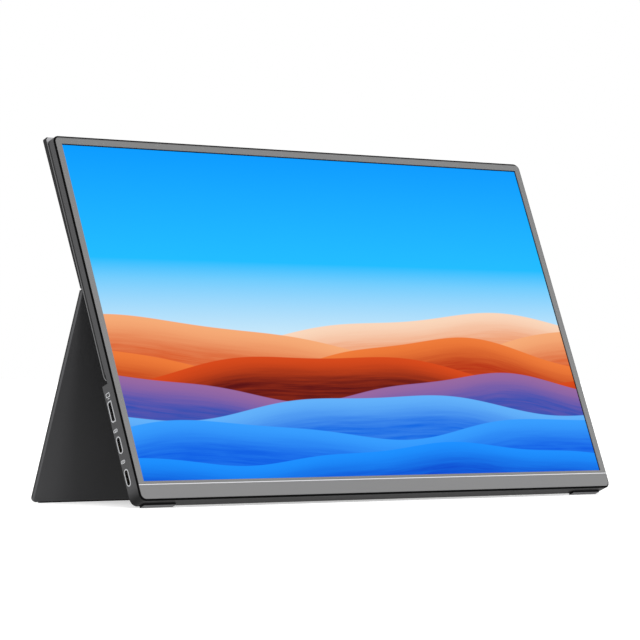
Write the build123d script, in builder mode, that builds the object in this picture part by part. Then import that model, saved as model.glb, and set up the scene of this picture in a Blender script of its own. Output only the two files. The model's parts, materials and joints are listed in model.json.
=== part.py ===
from build123d import *

import os
from math import acos, atan2, cos, degrees, radians, sin

# A 15.6-inch class portable monitor that leans back on a full-width kickstand.
# Sizes are in millimetres. Most pieces are placed by three numbers: x to the right, "up" along the
# leaning screen from the lower edge of the picture, and "depth" behind the front face of the bezel.

# Picture and display cell
active_width = 344.2
active_height = 193.6
cell_border = 1.6
cell_foot = 6.0
cell_thickness = 1.0

# Outline of the housing round the picture
side_border = 5.0
top_border = 5.0
bottom_border = 10.95
housing_radius = 4.0
slim_wall = 1.4

# Front plates and the dark seam round them
bezel_thickness = 0.5
window_margin = 0.25
seam_width = 1.0
seam_depth = 0.8
gasket_front = 0.15
gasket_bevel = 0.55
gasket_clearance = 0.05
trim_top = -1.5
trim_width = 1.0
trim_bevel = 0.25
chin_bevel = 0.2

# Layers of the display module, front to back
bezel_tape_thickness = 0.1
bezel_tape_width = 1.0
stack_gap = 0.05
film_thickness = 0.65
guide_thickness = 1.0
reflector_thickness = 0.15
tray_thickness = 0.2
tray_wall = 0.25
tray_wall_front = 0.9
tray_clearance = 0.75
tray_foot_clearance = 0.45
tray_radius = 3.3
guide_margin = 0.55
lamp_bar_width = 2.3
lamp_count = 24
lamp_length = 3.5
lamp_width = 1.1
lamp_height = 0.4
lamp_strip_thickness = 0.2
moulded_frame_clearance = 0.1

# Steel plate behind the display, pan and bright sheet of the slim body
panel_tape_width = 10.0
mid_plate_gap = 0.25
mid_plate_thickness = 0.4
mid_plate_overlap = 3.7
mid_plate_clearance = 0.12
slim_wall_step = 0.3
pan_gap = 0.35
pan_thickness = 0.85
pan_rib_inset = 0.5
cover_thickness = 0.5
cover_top_overhang = 1.4
cover_corner_radius = 2.0
curl_up = 61.5
curl_radius = 5.0
curl_end_depth = 4.9

# Lower block that holds the electronics
block_top = 56.3
block_depth = 9.5
block_wall = 2.4
cross_wall = 1.4
block_edge_bevel = 0.3
back_cover_thickness = 1.0
back_cover_ledge = 0.8
back_cover_clearance = 0.12
hook_columns = 3
hook_pitch = 110.0
hook_width = 8.0
hook_thickness = 0.9
hook_reach = 2.0
hook_clearance = 0.1
barb_reach = 0.4
barb_height = 0.8

# Back plate on the slim body
adhesive_thickness = 0.3
adhesive_margin = 3.0
plate_top = 200.4
plate_top_thickness = 2.8
plate_hinge_thickness = 1.3
plate_corner_radius = 1.5
plate_edge_bevel = 0.3

# Kickstand leg and its friction hinges
hinge_up = 110.9
hinge_clearance = 0.25
hinge_end_margin = 47.1
hinge_length = 40.0
knuckle_radius = 1.2
knuckle_count = 3
knuckle_gap = 0.2
pin_radius = 0.6
pin_clearance = 0.03
pin_end_gap = 0.3
leaf_thickness = 0.5
leaf_reach = 14.0
leaf_clearance = 0.1
leg_opening = 42.6
leg_thickness = 1.9
leg_length = 121.9
leg_corner_radius = 3.0
leg_edge_bevel = 0.8
strip_thickness = 1.2
strip_seat = 0.8
strip_proud = 0.35
strip_end_margin = 5.0

# Rubber pads under the front edge
pad_length = 21.6
pad_depth = 3.8
pad_back_margin = 0.5
pad_inset = 16.2
pad_proud = 1.05
pad_seat = 0.3
pad_clearance = 0.1
rubber_edge_radius = 0.3

# Sockets in the left wall: their centres along the wall and their depth behind the front
socket_depth = 6.8
wide_socket_up = 41.3
narrow_socket_ups = {"upper": 22.5, "lower": 4.25}
socket_inset = 0.1
socket_clearance = 0.1
flange_rim = 0.32
flange_thickness = 0.5
narrow_shell_length = 8.94
narrow_shell_height = 3.26
narrow_mouth_length = 8.34
narrow_mouth_height = 2.56
narrow_tongue_length = 6.69
narrow_tongue_thickness = 0.7
wide_shell_length = 11.2
wide_shell_height = 3.2
wide_shell_bevel = 0.9
wide_shell_wall = 0.35
wide_tongue_length = 7.6
wide_tongue_thickness = 0.6
shell_reach = 8.0
insulator_reach = 1.8
tongue_recess = 1.0

# Circuit boards, chips and the shield can
board_thickness = 0.8
board_clearance = 0.4
main_board_width = 90.0
main_board_bottom = -3.5
main_board_top = 50.0
standoff_width = 4.0
standoff_inset = 6.0
socket_standoff_inset = 20.0
screw_radius = 0.7
screw_clearance = 0.03
screw_head_radius = 1.25
screw_head_height = 0.5
screw_hole_clearance = 0.15
chip_height = 0.8
chip_margin = 8.0
processor_size = 14.0
memory_width = 5.0
memory_length = 8.0
power_chip_size = 6.0
driver_chip_width = 9.0
driver_chip_length = 4.0
driver_chip_pitch = 50.0
driver_chip_count = 3
can_width = 34.0
can_height = 26.0
can_depth = 1.1
can_wall = 0.2
key_board_width = 20.0
key_board_bottom = 16.0
key_board_top = 50.0
driver_board_width = 200.0
driver_board_thickness = 0.75
driver_board_bottom = -8.3
driver_board_top = -0.8
window_gap = 1.0
ribbon_width = 18.0
ribbon_thickness = 0.2
key_cable_width = 3.5
key_cable_gap = 1.25
cable_landing = 4.0

# Speakers
speaker_board_gap = 6.3
speaker_up = 26.0
speaker_width = 36.0
speaker_height = 22.0
speaker_depth = 3.7
speaker_gap = 0.1
speaker_rim = 2.0
cone_recess = 1.0
cone_thickness = 0.6
cone_bevel = 0.5
slot_count = 10
slot_pitch = 2.6
slot_length = 12.0
slot_width = 1.0

# Keys and headphone jack in the right wall
key_ups = {"power": 45.0, "plus": 33.0, "minus": 23.0}
key_length = 7.0
key_height = 2.4
key_clearance = 0.15
key_depth = 6.45
key_proud = 0.5
key_bevel = 0.25
key_travel = 0.35
key_flange_rim = 0.7
key_flange_thickness = 0.6
key_flange_gap = 0.2
stem_width = 1.6
stem_length = 1.2
switch_end_gap = 0.05
switch_length = 4.6
switch_reach = 3.0
switch_thickness = 1.6
switch_overhang = 1.0
jack_up = 8.0
jack_depth = 6.65
jack_bore_radius = 1.8
jack_nose_radius = 2.15
jack_reach = 13.0
jack_bore_depth = 12.0
jack_body_width = 6.2
jack_body_depth = 4.3
jack_clearance = 0.1
jack_hollow_margin = 0.5

# Housing and front outline, worked out from the borders
housing_width = active_width + 2 * side_border
housing_top = active_height + top_border
housing_bottom = -bottom_border
housing_height = housing_top - housing_bottom
housing_middle = (housing_top + housing_bottom) / 2
half_width = housing_width / 2
trim_bottom = trim_top - trim_width

# Depths of the layers, front to back
cell_front = bezel_thickness + bezel_tape_thickness
cell_back = cell_front + cell_thickness
film_front = cell_back + stack_gap
guide_front = film_front + film_thickness + stack_gap
guide_back = guide_front + guide_thickness
reflector_front = guide_back + stack_gap
tray_front = reflector_front + reflector_thickness
tray_back = tray_front + tray_thickness
mid_plate_front = tray_back + mid_plate_gap
mid_plate_back = mid_plate_front + mid_plate_thickness
slim_wall_back = mid_plate_back + slim_wall_step
pan_front = slim_wall_back + pan_gap
pan_back = pan_front + pan_thickness
cover_back = pan_back + cover_thickness
plate_front = cover_back + adhesive_thickness
back_cover_front = block_depth - back_cover_thickness

# Hinge line, and the leg's foot in the (up, depth) plane of the side view
hinge_depth = cover_back + hinge_clearance + knuckle_radius
leaf_bottom = hinge_up + knuckle_radius + hinge_clearance
opening = radians(leg_opening)
strip_reach = leg_length + strip_proud - rubber_edge_radius
strip_offset = strip_thickness / 2 - rubber_edge_radius
foot_up = hinge_up - strip_reach * cos(opening) - strip_offset * sin(opening)
foot_depth = hinge_depth + strip_reach * sin(opening) - strip_offset * cos(opening)

# The screen leans until the pads and the leg's foot strip stand on one floor
pad_back = block_depth - pad_back_margin
pad_edge_up = housing_bottom - pad_proud + rubber_edge_radius
pad_edge_depth = pad_back - rubber_edge_radius
lean = atan2(foot_up - pad_edge_up, foot_depth - pad_edge_depth)
floor_height = pad_edge_up * cos(lean) - pad_edge_depth * sin(lean) - rubber_edge_radius


def reach(up, depth):
    """How far a point of the side view lies towards the back, measured along the floor."""
    return up * sin(lean) + depth * cos(lean)


# The origin is on the floor, midway between the chin's front edge and the leg's rear edge
chin_reach = reach(housing_bottom + seam_width, 0)
leg_heel_up = hinge_up - leg_length * cos(opening) + leg_thickness / 2 * sin(opening)
leg_heel_depth = hinge_depth + leg_length * sin(opening) + leg_thickness / 2 * cos(opening)
middle_reach = (chin_reach + reach(leg_heel_up, leg_heel_depth)) / 2

up_direction = (0, sin(lean), cos(lean))
back_direction = (0, cos(lean), -sin(lean))
front_direction = (0, -cos(lean), sin(lean))
screen = Plane(origin=(0, -middle_reach, -floor_height), x_dir=(1, 0, 0), z_dir=front_direction)
side_view = Plane(origin=screen.origin, x_dir=up_direction, z_dir=(-1, 0, 0))
up_axis = Axis(screen.origin, up_direction)
back_axis = Axis(screen.origin, back_direction)


def behind(depth):
    """The plane parallel to the screen at a depth: local x is right, y is up, z faces the viewer."""
    return screen.offset(-depth)


def across(x):
    """The plane square to X at x: local x is up, local y is depth, z points left."""
    return side_view.offset(-x)


def across_up(up):
    """The plane square to the screen's height at one height: local x is right, local y is depth."""
    return Plane(origin=screen.from_local_coords((0, up, 0)), x_dir=(1, 0, 0), z_dir=up_direction)


# The leg's own planes: its local y runs up the leg to the hinge, its z points to its inner face
leg_lean = opening - lean
hinge_centre = screen.from_local_coords((0, hinge_up, -hinge_depth))
leg = Plane(origin=hinge_centre, x_dir=(1, 0, 0), z_dir=(0, -cos(leg_lean), -sin(leg_lean)))
leg_side_view = Plane(origin=hinge_centre, x_dir=leg.y_dir, z_dir=(-1, 0, 0))
leg_axis = Axis(hinge_centre, leg.y_dir)


def leg_across(x):
    """The plane square to X at x: local x runs up the leg, local y to its outer face."""
    return leg_side_view.offset(-x)


os.makedirs("parts", exist_ok=True)


def finish(piece, node):
    """Label a finished piece and write it to its own file."""
    piece.part.label = node
    export_step(piece.part, f"parts/{node}.step")


def outline(inset, mode=Mode.ADD):
    """The housing's rounded outline, drawn in by an inset on all sides."""
    width = housing_width - 2 * inset
    height = housing_height - 2 * inset
    with Locations((0, housing_middle)):
        RectangleRounded(width, height, housing_radius - inset, mode=mode)


def remove_above(up):
    """Take away the part of a sketch above a height."""
    with Locations((0, up)):
        Rectangle(2 * housing_width, 2 * housing_height, align=(Align.CENTER, Align.MIN), mode=Mode.SUBTRACT)


def remove_below(up):
    """Take away the part of a sketch below a height."""
    with Locations((0, up)):
        Rectangle(2 * housing_width, 2 * housing_height, align=(Align.CENTER, Align.MAX), mode=Mode.SUBTRACT)


def band(half_span, bottom, top, mode=Mode.ADD):
    """A rectangle centred on the screen's width, between two heights."""
    with Locations((0, (bottom + top) / 2)):
        Rectangle(2 * half_span, top - bottom, mode=mode)


def patch(left, right, bottom, top, mode=Mode.ADD):
    """A rectangle between two x values and two heights."""
    with Locations(((left + right) / 2, (bottom + top) / 2)):
        Rectangle(right - left, top - bottom, mode=mode)


# Front: bezel, bright trim line, chin and the dark seam gasket
with BuildPart() as front_bezel:
    with BuildSketch(behind(bezel_thickness)):
        outline(seam_width)
        remove_below(trim_top)
        band(active_width / 2 + window_margin, -window_margin, active_height + window_margin, Mode.SUBTRACT)
    extrude(amount=bezel_thickness)
finish(front_bezel, "front_bezel")

with BuildPart() as chin_trim:
    with BuildSketch(behind(bezel_thickness)):
        outline(seam_width)
        remove_above(trim_top)
        remove_below(trim_bottom)
    extrude(amount=bezel_thickness)
    trim_face = chin_trim.faces().sort_by(back_axis)[0]
    chamfer(trim_face.edges().filter_by(Axis.X), length=trim_bevel)
finish(chin_trim, "chin_trim")

with BuildPart() as chin_bar:
    with BuildSketch(behind(bezel_thickness)):
        outline(seam_width)
        remove_above(trim_bottom)
    extrude(amount=bezel_thickness)
    chin_face = chin_bar.faces().sort_by(back_axis)[0]
    chamfer(chin_face.edges().sort_by(up_axis)[:-1], length=chin_bevel)
finish(chin_bar, "chin_bar")

with BuildPart() as front_gasket:
    with BuildSketch(behind(seam_depth)):
        outline(gasket_clearance)
        outline(seam_width - gasket_clearance, Mode.SUBTRACT)
    extrude(amount=seam_depth - gasket_front)
    gasket_face = front_gasket.faces().sort_by(back_axis)[0]
    chamfer(gasket_face.outer_wire().edges(), length=gasket_bevel)
finish(front_gasket, "front_gasket")

# Display module
cell_half_width = active_width / 2 + cell_border
cell_top = active_height + cell_border
tape_half_width = cell_half_width - bezel_tape_width
with BuildPart() as bezel_tape:
    with BuildSketch(behind(cell_front)):
        band(cell_half_width, -cell_foot, cell_top)
        band(tape_half_width, -bezel_tape_width, cell_top - bezel_tape_width, Mode.SUBTRACT)
        remove_below(trim_top)
    extrude(amount=bezel_tape_thickness)
finish(bezel_tape, "bezel_tape")

with BuildPart() as lcd_cell:
    with BuildSketch(behind(cell_front)):
        band(cell_half_width, -cell_foot, cell_top)
    extrude(amount=-cell_thickness)
finish(lcd_cell, "lcd_cell")

guide_half_width = active_width / 2 + guide_margin
guide_bottom = -guide_margin
guide_top = active_height + guide_margin
film_layers = {
    "optical_films": (film_front, film_thickness),
    "light_guide": (guide_front, guide_thickness),
    "reflector_sheet": (reflector_front, reflector_thickness),
}
for node, (front, thickness) in film_layers.items():
    with BuildPart() as layer:
        with BuildSketch(behind(front)):
            band(guide_half_width, guide_bottom, guide_top)
        extrude(amount=-thickness)
    finish(layer, node)

lamp_bar_top = guide_bottom - stack_gap
lamp_bar_bottom = lamp_bar_top - lamp_bar_width
with BuildPart() as lamp_bar:
    with BuildSketch(behind(guide_front)):
        band(guide_half_width, lamp_bar_bottom, lamp_bar_top)
    extrude(amount=-lamp_strip_thickness)
    with BuildSketch(behind(guide_front + lamp_strip_thickness)):
        with Locations((0, (lamp_bar_bottom + lamp_bar_top) / 2)):
            with GridLocations(2 * guide_half_width / lamp_count, 1, lamp_count, 1):
                Rectangle(lamp_length, lamp_width)
    extrude(amount=-(lamp_height - stack_gap))
finish(lamp_bar, "lamp_bar")

pocket_half_width = half_width - slim_wall
pocket_top = housing_top - slim_wall
pocket_bottom = housing_bottom + slim_wall
tray_half_width = pocket_half_width - tray_clearance
tray_top = pocket_top - tray_clearance
tray_bottom = pocket_bottom + tray_foot_clearance


def tray_outline(inset, mode=Mode.ADD):
    """The display tray's rounded outline, drawn in by an inset."""
    with Locations((0, (tray_bottom + tray_top) / 2)):
        RectangleRounded(
            2 * (tray_half_width - inset), tray_top - tray_bottom - 2 * inset, tray_radius - inset, mode=mode
        )


with BuildPart() as moulded_frame:
    with BuildSketch(behind(film_front)):
        tray_outline(tray_wall + moulded_frame_clearance)
        band(
            guide_half_width + moulded_frame_clearance,
            lamp_bar_bottom - moulded_frame_clearance,
            guide_top + moulded_frame_clearance,
            Mode.SUBTRACT,
        )
    extrude(amount=-(tray_front - film_front))
finish(moulded_frame, "moulded_frame")

with BuildPart() as panel_tray:
    with BuildSketch(behind(tray_front)):
        tray_outline(0)
    extrude(amount=-tray_thickness)
    with BuildSketch(behind(tray_wall_front)):
        tray_outline(0)
        tray_outline(tray_wall, Mode.SUBTRACT)
    extrude(amount=-(tray_front - tray_wall_front))
finish(panel_tray, "panel_tray")

driver_half_width = driver_board_width / 2
driver_board_back = tray_back + driver_board_thickness
with BuildPart() as panel_driver_board:
    with BuildSketch(behind(tray_back)):
        band(driver_half_width, driver_board_bottom, driver_board_top)
    extrude(amount=-driver_board_thickness)
    with BuildSketch(behind(driver_board_back)):
        with Locations((0, (driver_board_bottom + driver_board_top) / 2)):
            with GridLocations(driver_chip_pitch, 1, driver_chip_count, 1):
                Rectangle(driver_chip_width, driver_chip_length)
    extrude(amount=-chip_height)
finish(panel_driver_board, "panel_driver_board")

# Tapes that hold the display module to the pan, two upright strips
panel_tape_x = active_width / 3
panel_tape_length = active_height - curl_up - 2 * panel_tape_width
with BuildPart() as panel_tapes:
    with BuildSketch(behind(tray_back)):
        for side in (-1, 1):
            with Locations((side * panel_tape_x, (curl_up + active_height) / 2)):
                Rectangle(panel_tape_width, panel_tape_length)
    extrude(amount=-(pan_front - tray_back))
finish(panel_tapes, "panel_tapes")

# Housing frame: slim walls round the display, and the deeper block at the bottom
bay_half_width = half_width - block_wall
bay_top = block_top - cross_wall
bay_bottom = housing_bottom + block_wall
hook_front = back_cover_front - hook_reach


def socket_outline(length, height, bevel=0.0, mode=Mode.ADD):
    """A socket's outline: a rounded slot, or with a bevel the wide type with two cut corners."""
    if bevel:
        points = [
            (-length / 2, -height / 2),
            (length / 2, -height / 2),
            (length / 2, height / 2 - bevel),
            (length / 2 - bevel, height / 2),
            (bevel - length / 2, height / 2),
            (-length / 2, height / 2 - bevel),
        ]
        Polygon(*points, align=None, mode=mode)
    else:
        SlotOverall(length, height, mode=mode)


wide_flange_length = wide_shell_length + 2 * flange_rim
wide_flange_height = wide_shell_height + 2 * flange_rim
narrow_flange_length = narrow_shell_length + 2 * flange_rim
narrow_flange_height = narrow_shell_height + 2 * flange_rim

with BuildPart() as housing_frame:
    with BuildSketch(behind(seam_depth)):
        outline(0)
    extrude(amount=-(slim_wall_back - seam_depth))
    # thin lip inside the seam that carries the bezel
    with BuildSketch(behind(bezel_thickness)):
        outline(seam_width)
    extrude(amount=-(seam_depth - bezel_thickness))
    with BuildSketch(behind(slim_wall_back)):
        outline(0)
        remove_above(block_top)
    extrude(amount=-(block_depth - slim_wall_back))
    block_back = housing_frame.faces().sort_by(back_axis)[-1]
    chamfer(block_back.edges(), length=block_edge_bevel)
    # low step under the curl of the bright sheet
    with BuildSketch(behind(mid_plate_back)):
        band(housing_width, block_top, curl_up)
    extrude(amount=-(slim_wall_back - mid_plate_back), mode=Mode.SUBTRACT)
    # pocket for the display module and the steel plate, open through the slim part
    with BuildSketch(behind(bezel_thickness)):
        outline(slim_wall)
    extrude(amount=-(mid_plate_back - bezel_thickness), mode=Mode.SUBTRACT)
    with BuildSketch(behind(mid_plate_back)):
        outline(slim_wall)
        remove_below(block_top)
    extrude(amount=-(slim_wall_back - mid_plate_back), mode=Mode.SUBTRACT)
    # electronics bay with a ledge for its cover
    with BuildSketch(behind(mid_plate_back)):
        band(bay_half_width, bay_bottom, bay_top)
    extrude(amount=-(block_depth - mid_plate_back), mode=Mode.SUBTRACT)
    with BuildSketch(behind(back_cover_front)):
        band(bay_half_width + back_cover_ledge, bay_bottom - back_cover_ledge, bay_top + back_cover_ledge)
    extrude(amount=-back_cover_thickness, mode=Mode.SUBTRACT)
    # pockets for the hooks of the back cover, in the walls above and below the bay
    with BuildSketch(behind(hook_front - hook_clearance)):
        for wall_up in (bay_top, bay_bottom):
            with Locations((0, wall_up)):
                with GridLocations(hook_pitch, 1, hook_columns, 1):
                    Rectangle(hook_width + 2 * hook_clearance, 2 * (barb_reach + hook_clearance))
    extrude(amount=-(barb_height + 2 * hook_clearance), mode=Mode.SUBTRACT)
    # socket openings in the left wall
    with BuildSketch(across(-half_width)):
        with Locations((wide_socket_up, socket_depth)):
            socket_outline(
                wide_flange_length + 2 * socket_clearance,
                wide_flange_height + 2 * socket_clearance,
                wide_shell_bevel,
            )
        for up in narrow_socket_ups.values():
            with Locations((up, socket_depth)):
                socket_outline(
                    narrow_flange_length + 2 * socket_clearance, narrow_flange_height + 2 * socket_clearance
                )
    extrude(amount=-block_wall, mode=Mode.SUBTRACT)
    # key and jack openings in the right wall
    with BuildSketch(across(half_width)):
        for up in key_ups.values():
            with Locations((up, key_depth)):
                SlotOverall(key_length + 2 * key_clearance, key_height + 2 * key_clearance)
        with Locations((jack_up, jack_depth)):
            Circle(jack_nose_radius + jack_clearance)
    extrude(amount=block_wall, mode=Mode.SUBTRACT)
    # seats for the rubber pads in the underside
    with BuildSketch(across_up(housing_bottom)):
        for side in (-1, 1):
            with Locations((side * (half_width - pad_inset), pad_back - pad_depth / 2)):
                Rectangle(pad_length + 2 * pad_clearance, pad_depth + 2 * pad_clearance)
    extrude(amount=pad_seat, mode=Mode.SUBTRACT)
finish(housing_frame, "housing_frame")

# Rubber pads
for side, name in ((-1, "left"), (1, "right")):
    with BuildPart() as pad:
        with BuildSketch(across_up(housing_bottom + pad_seat)):
            with Locations((side * (half_width - pad_inset), pad_back - pad_depth / 2)):
                Rectangle(pad_length, pad_depth)
        extrude(amount=-(pad_seat + pad_proud))
        fillet(pad.faces().sort_by(up_axis)[0].edges().filter_by(Axis.X), radius=rubber_edge_radius)
    finish(pad, f"front_pad_{name}")

# Steel plate between the display and the electronics, with standoffs for the boards
main_board_left = board_clearance - bay_half_width
main_board_right = main_board_left + main_board_width
switch_gap = key_travel + switch_end_gap
key_board_right = bay_half_width - key_flange_gap - key_flange_thickness - stem_length - switch_gap
key_board_left = key_board_right - key_board_width
board_front = socket_depth - board_thickness / 2
main_board_points = [
    (main_board_left + socket_standoff_inset, main_board_top - standoff_inset),
    (main_board_right - standoff_inset, main_board_bottom + standoff_inset),
]
key_board_points = [(key_board_left + standoff_inset, key_board_bottom + standoff_inset)]
standoff_points = main_board_points + key_board_points
with BuildPart() as mid_plate:
    with BuildSketch(behind(mid_plate_front)):
        outline(slim_wall + mid_plate_clearance)
        remove_above(block_top + mid_plate_overlap)
        # cut-out for the driver board at the lower edge
        band(driver_half_width + window_gap, housing_bottom, driver_board_top + window_gap, Mode.SUBTRACT)
    extrude(amount=-mid_plate_thickness)
    with BuildSketch(behind(mid_plate_back)):
        with Locations(*standoff_points):
            Rectangle(standoff_width, standoff_width)
    extrude(amount=-(board_front - mid_plate_back))
    with BuildSketch(behind(board_front)):
        with Locations(*standoff_points):
            Circle(screw_radius + screw_clearance)
    extrude(amount=board_front - mid_plate_back, mode=Mode.SUBTRACT)
finish(mid_plate, "mid_plate")

# Pan of the slim body: its lower edge is a bull nose that carries the curl of the bright sheet
curl_centre = (curl_up, cover_back - curl_radius)
pan_radius = curl_radius - cover_thickness
pan_turn = degrees(acos((pan_front - curl_centre[1]) / pan_radius))
cover_turn = degrees(acos((curl_end_depth - curl_centre[1]) / curl_radius))
with BuildPart() as back_pan:
    with BuildSketch(across(-half_width)):
        with BuildLine():
            nose = CenterArc(curl_centre, pan_radius, 90, pan_turn)
            Polyline(nose @ 1, (housing_top, pan_front), (housing_top, pan_back), nose @ 0)
        make_face()
    extrude(amount=-housing_width)
    top_corners = back_pan.edges().filter_by(back_axis).group_by(up_axis)[-1]
    fillet(top_corners, radius=housing_radius)
    with BuildSketch(behind(slim_wall_back)):
        outline(pan_rib_inset)
        outline(slim_wall, Mode.SUBTRACT)
        remove_below(curl_up)
    extrude(amount=-pan_gap)
finish(back_pan, "back_pan")

# Bright sheet over the slim body, curled into the notch above the block
cover_top = housing_top + cover_top_overhang
with BuildPart() as rear_cover:
    with BuildSketch(across(-half_width)):
        with BuildLine():
            outer = CenterArc(curl_centre, curl_radius, 90, cover_turn)
            inner = CenterArc(curl_centre, pan_radius, 90, cover_turn)
            Line(outer @ 1, inner @ 1)
            Polyline(inner @ 0, (cover_top, pan_back), (cover_top, cover_back), outer @ 0)
        make_face()
    extrude(amount=-housing_width)
    top_corners = rear_cover.edges().filter_by(back_axis).group_by(up_axis)[-1]
    fillet(top_corners, radius=cover_corner_radius)
finish(rear_cover, "rear_cover")

# Back plate on the slim body, and the adhesive under it
adhesive_bottom = leaf_bottom + leaf_reach + leaf_clearance
with BuildPart() as plate_adhesive:
    with BuildSketch(behind(cover_back)):
        band(half_width - adhesive_margin, adhesive_bottom, housing_top - adhesive_margin)
    extrude(amount=-adhesive_thickness)
finish(plate_adhesive, "plate_adhesive")

hinge_centre_x = half_width - hinge_end_margin - hinge_length / 2
hinge_centres = {"left": -hinge_centre_x, "right": hinge_centre_x}
hinge_cut = hinge_length / 2 + pin_end_gap + hinge_clearance
leg_inner = leg_thickness / 2
with BuildPart() as back_plate:
    with BuildSketch(across(-half_width)):
        with BuildLine():
            Polyline(
                (hinge_up, plate_front),
                (hinge_up, plate_front + plate_hinge_thickness),
                (plate_top, plate_front + plate_top_thickness),
                (plate_top, plate_front),
                close=True,
            )
        make_face()
    extrude(amount=-housing_width)
    top_corners = back_plate.edges().filter_by(back_axis).group_by(up_axis)[-1]
    fillet(top_corners, radius=plate_corner_radius)
    plate_outer = back_plate.faces().sort_by(back_axis)[-1]
    chamfer(plate_outer.edges().sort_by(up_axis)[1:], length=plate_edge_bevel)
    # hollow lower edge that follows the leg's rounded upper edge
    with BuildSketch(across(-half_width)):
        with Locations((hinge_up, hinge_depth)):
            Circle(leg_inner + hinge_clearance)
    extrude(amount=-housing_width, mode=Mode.SUBTRACT)
    # cut-outs round the hinge knuckles, and pockets for the leaves
    with BuildSketch(behind(plate_front)):
        for centre in hinge_centres.values():
            patch(centre - hinge_cut, centre + hinge_cut, hinge_up, leaf_bottom)
    extrude(amount=-plate_top_thickness, mode=Mode.SUBTRACT)
    with BuildSketch(behind(plate_front)):
        for centre in hinge_centres.values():
            patch(
                centre - hinge_length / 2 - leaf_clearance,
                centre + hinge_length / 2 + leaf_clearance,
                hinge_up,
                leaf_bottom + leaf_reach + leaf_clearance,
            )
    extrude(amount=-leaf_thickness, mode=Mode.SUBTRACT)
finish(back_plate, "back_plate")

# Friction hinges: interleaved knuckles on a steel pin
knuckle_length = (hinge_length - (knuckle_count - 1) * knuckle_gap) / knuckle_count
leg_leaf_top = -(knuckle_radius + hinge_clearance)
leg_leaf_bottom = leg_leaf_top - leaf_reach


def knuckle_starts(centre, first):
    """The x where each second knuckle begins, from the first or the second one."""
    left = centre - hinge_length / 2
    return [left + index * (knuckle_length + knuckle_gap) for index in range(first, knuckle_count, 2)]


def bore_hinge(centre):
    """Drill the pin's hole through every knuckle of a leaf."""
    with BuildSketch(leg_across(centre - hinge_length / 2)) as bore:
        Circle(pin_radius + pin_clearance)
    extrude(bore.sketch, amount=-hinge_length, mode=Mode.SUBTRACT)


for name, centre in hinge_centres.items():
    with BuildPart() as fixed_leaf:
        with BuildSketch(behind(plate_front)):
            patch(centre - hinge_length / 2, centre + hinge_length / 2, leaf_bottom, leaf_bottom + leaf_reach)
        extrude(amount=-leaf_thickness)
        for start in knuckle_starts(centre, 0):
            with BuildSketch(across(start)):
                with Locations((hinge_up, hinge_depth)):
                    Circle(knuckle_radius)
                with Locations((hinge_up, plate_front)):
                    Rectangle(leaf_bottom - hinge_up, leaf_thickness, align=(Align.MIN, Align.MIN))
            extrude(amount=-knuckle_length)
        bore_hinge(centre)
    finish(fixed_leaf, f"hinge_{name}_fixed_leaf")

    with BuildPart() as moving_leaf:
        with BuildSketch(leg.offset(leg_inner - leaf_thickness)):
            patch(centre - hinge_length / 2, centre + hinge_length / 2, leg_leaf_bottom, leg_leaf_top)
        extrude(amount=leaf_thickness)
        for start in knuckle_starts(centre, 1):
            with BuildSketch(leg_across(start)):
                Circle(knuckle_radius)
                with Locations((0, -leg_inner)):
                    Rectangle(-leg_leaf_top, leaf_thickness, align=(Align.MAX, Align.MIN))
            extrude(amount=-knuckle_length)
        bore_hinge(centre)
    finish(moving_leaf, f"hinge_{name}_moving_leaf")

    with BuildPart() as hinge_pin:
        with BuildSketch(leg_across(centre - hinge_length / 2 - pin_end_gap)):
            Circle(pin_radius)
        extrude(amount=-(hinge_length + 2 * pin_end_gap))
    finish(hinge_pin, f"hinge_{name}_pin")

# Kickstand leg: a flat plate whose upper edge is rounded about the hinge line
strip_half_length = half_width - strip_end_margin
with BuildPart() as kickstand_leg:
    with BuildSketch(leg.offset(-leg_inner)) as leg_sketch:
        band(half_width, -leg_length, 0)
        fillet(leg_sketch.vertices().group_by(Axis.Y)[0], radius=leg_corner_radius)
    extrude(amount=leg_thickness)
    leg_face = kickstand_leg.faces().sort_by(Axis(hinge_centre, leg.z_dir))[-1]
    chamfer(leg_face.edges().sort_by(leg_axis)[:-1], length=leg_edge_bevel)
    with BuildSketch(leg_across(-half_width + leg_edge_bevel)):
        Circle(leg_inner)
    extrude(amount=-(housing_width - 2 * leg_edge_bevel))
    with BuildSketch(leg.offset(-leg_thickness)):
        for centre in hinge_centres.values():
            patch(centre - hinge_cut, centre + hinge_cut, leg_leaf_top, leg_thickness)
    extrude(amount=2 * leg_thickness, mode=Mode.SUBTRACT)
    with BuildSketch(leg.offset(leg_inner - leaf_thickness)):
        for centre in hinge_centres.values():
            patch(
                centre - hinge_length / 2 - leaf_clearance,
                centre + hinge_length / 2 + leaf_clearance,
                leg_leaf_bottom - leaf_clearance,
                leg_leaf_top + leaf_clearance,
            )
    extrude(amount=leaf_thickness, mode=Mode.SUBTRACT)
    with BuildSketch(leg.offset(-strip_thickness / 2)):
        band(strip_half_length, -leg_length, strip_seat - leg_length)
    extrude(amount=strip_thickness, mode=Mode.SUBTRACT)
finish(kickstand_leg, "kickstand_leg")

with BuildPart() as foot_strip:
    with BuildSketch(leg.offset(-strip_thickness / 2)):
        band(strip_half_length, -leg_length - strip_proud, strip_seat - leg_length)
    extrude(amount=strip_thickness)
    fillet(foot_strip.faces().sort_by(leg_axis)[0].edges().filter_by(Axis.X), radius=rubber_edge_radius)
finish(foot_strip, "foot_strip")

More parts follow.
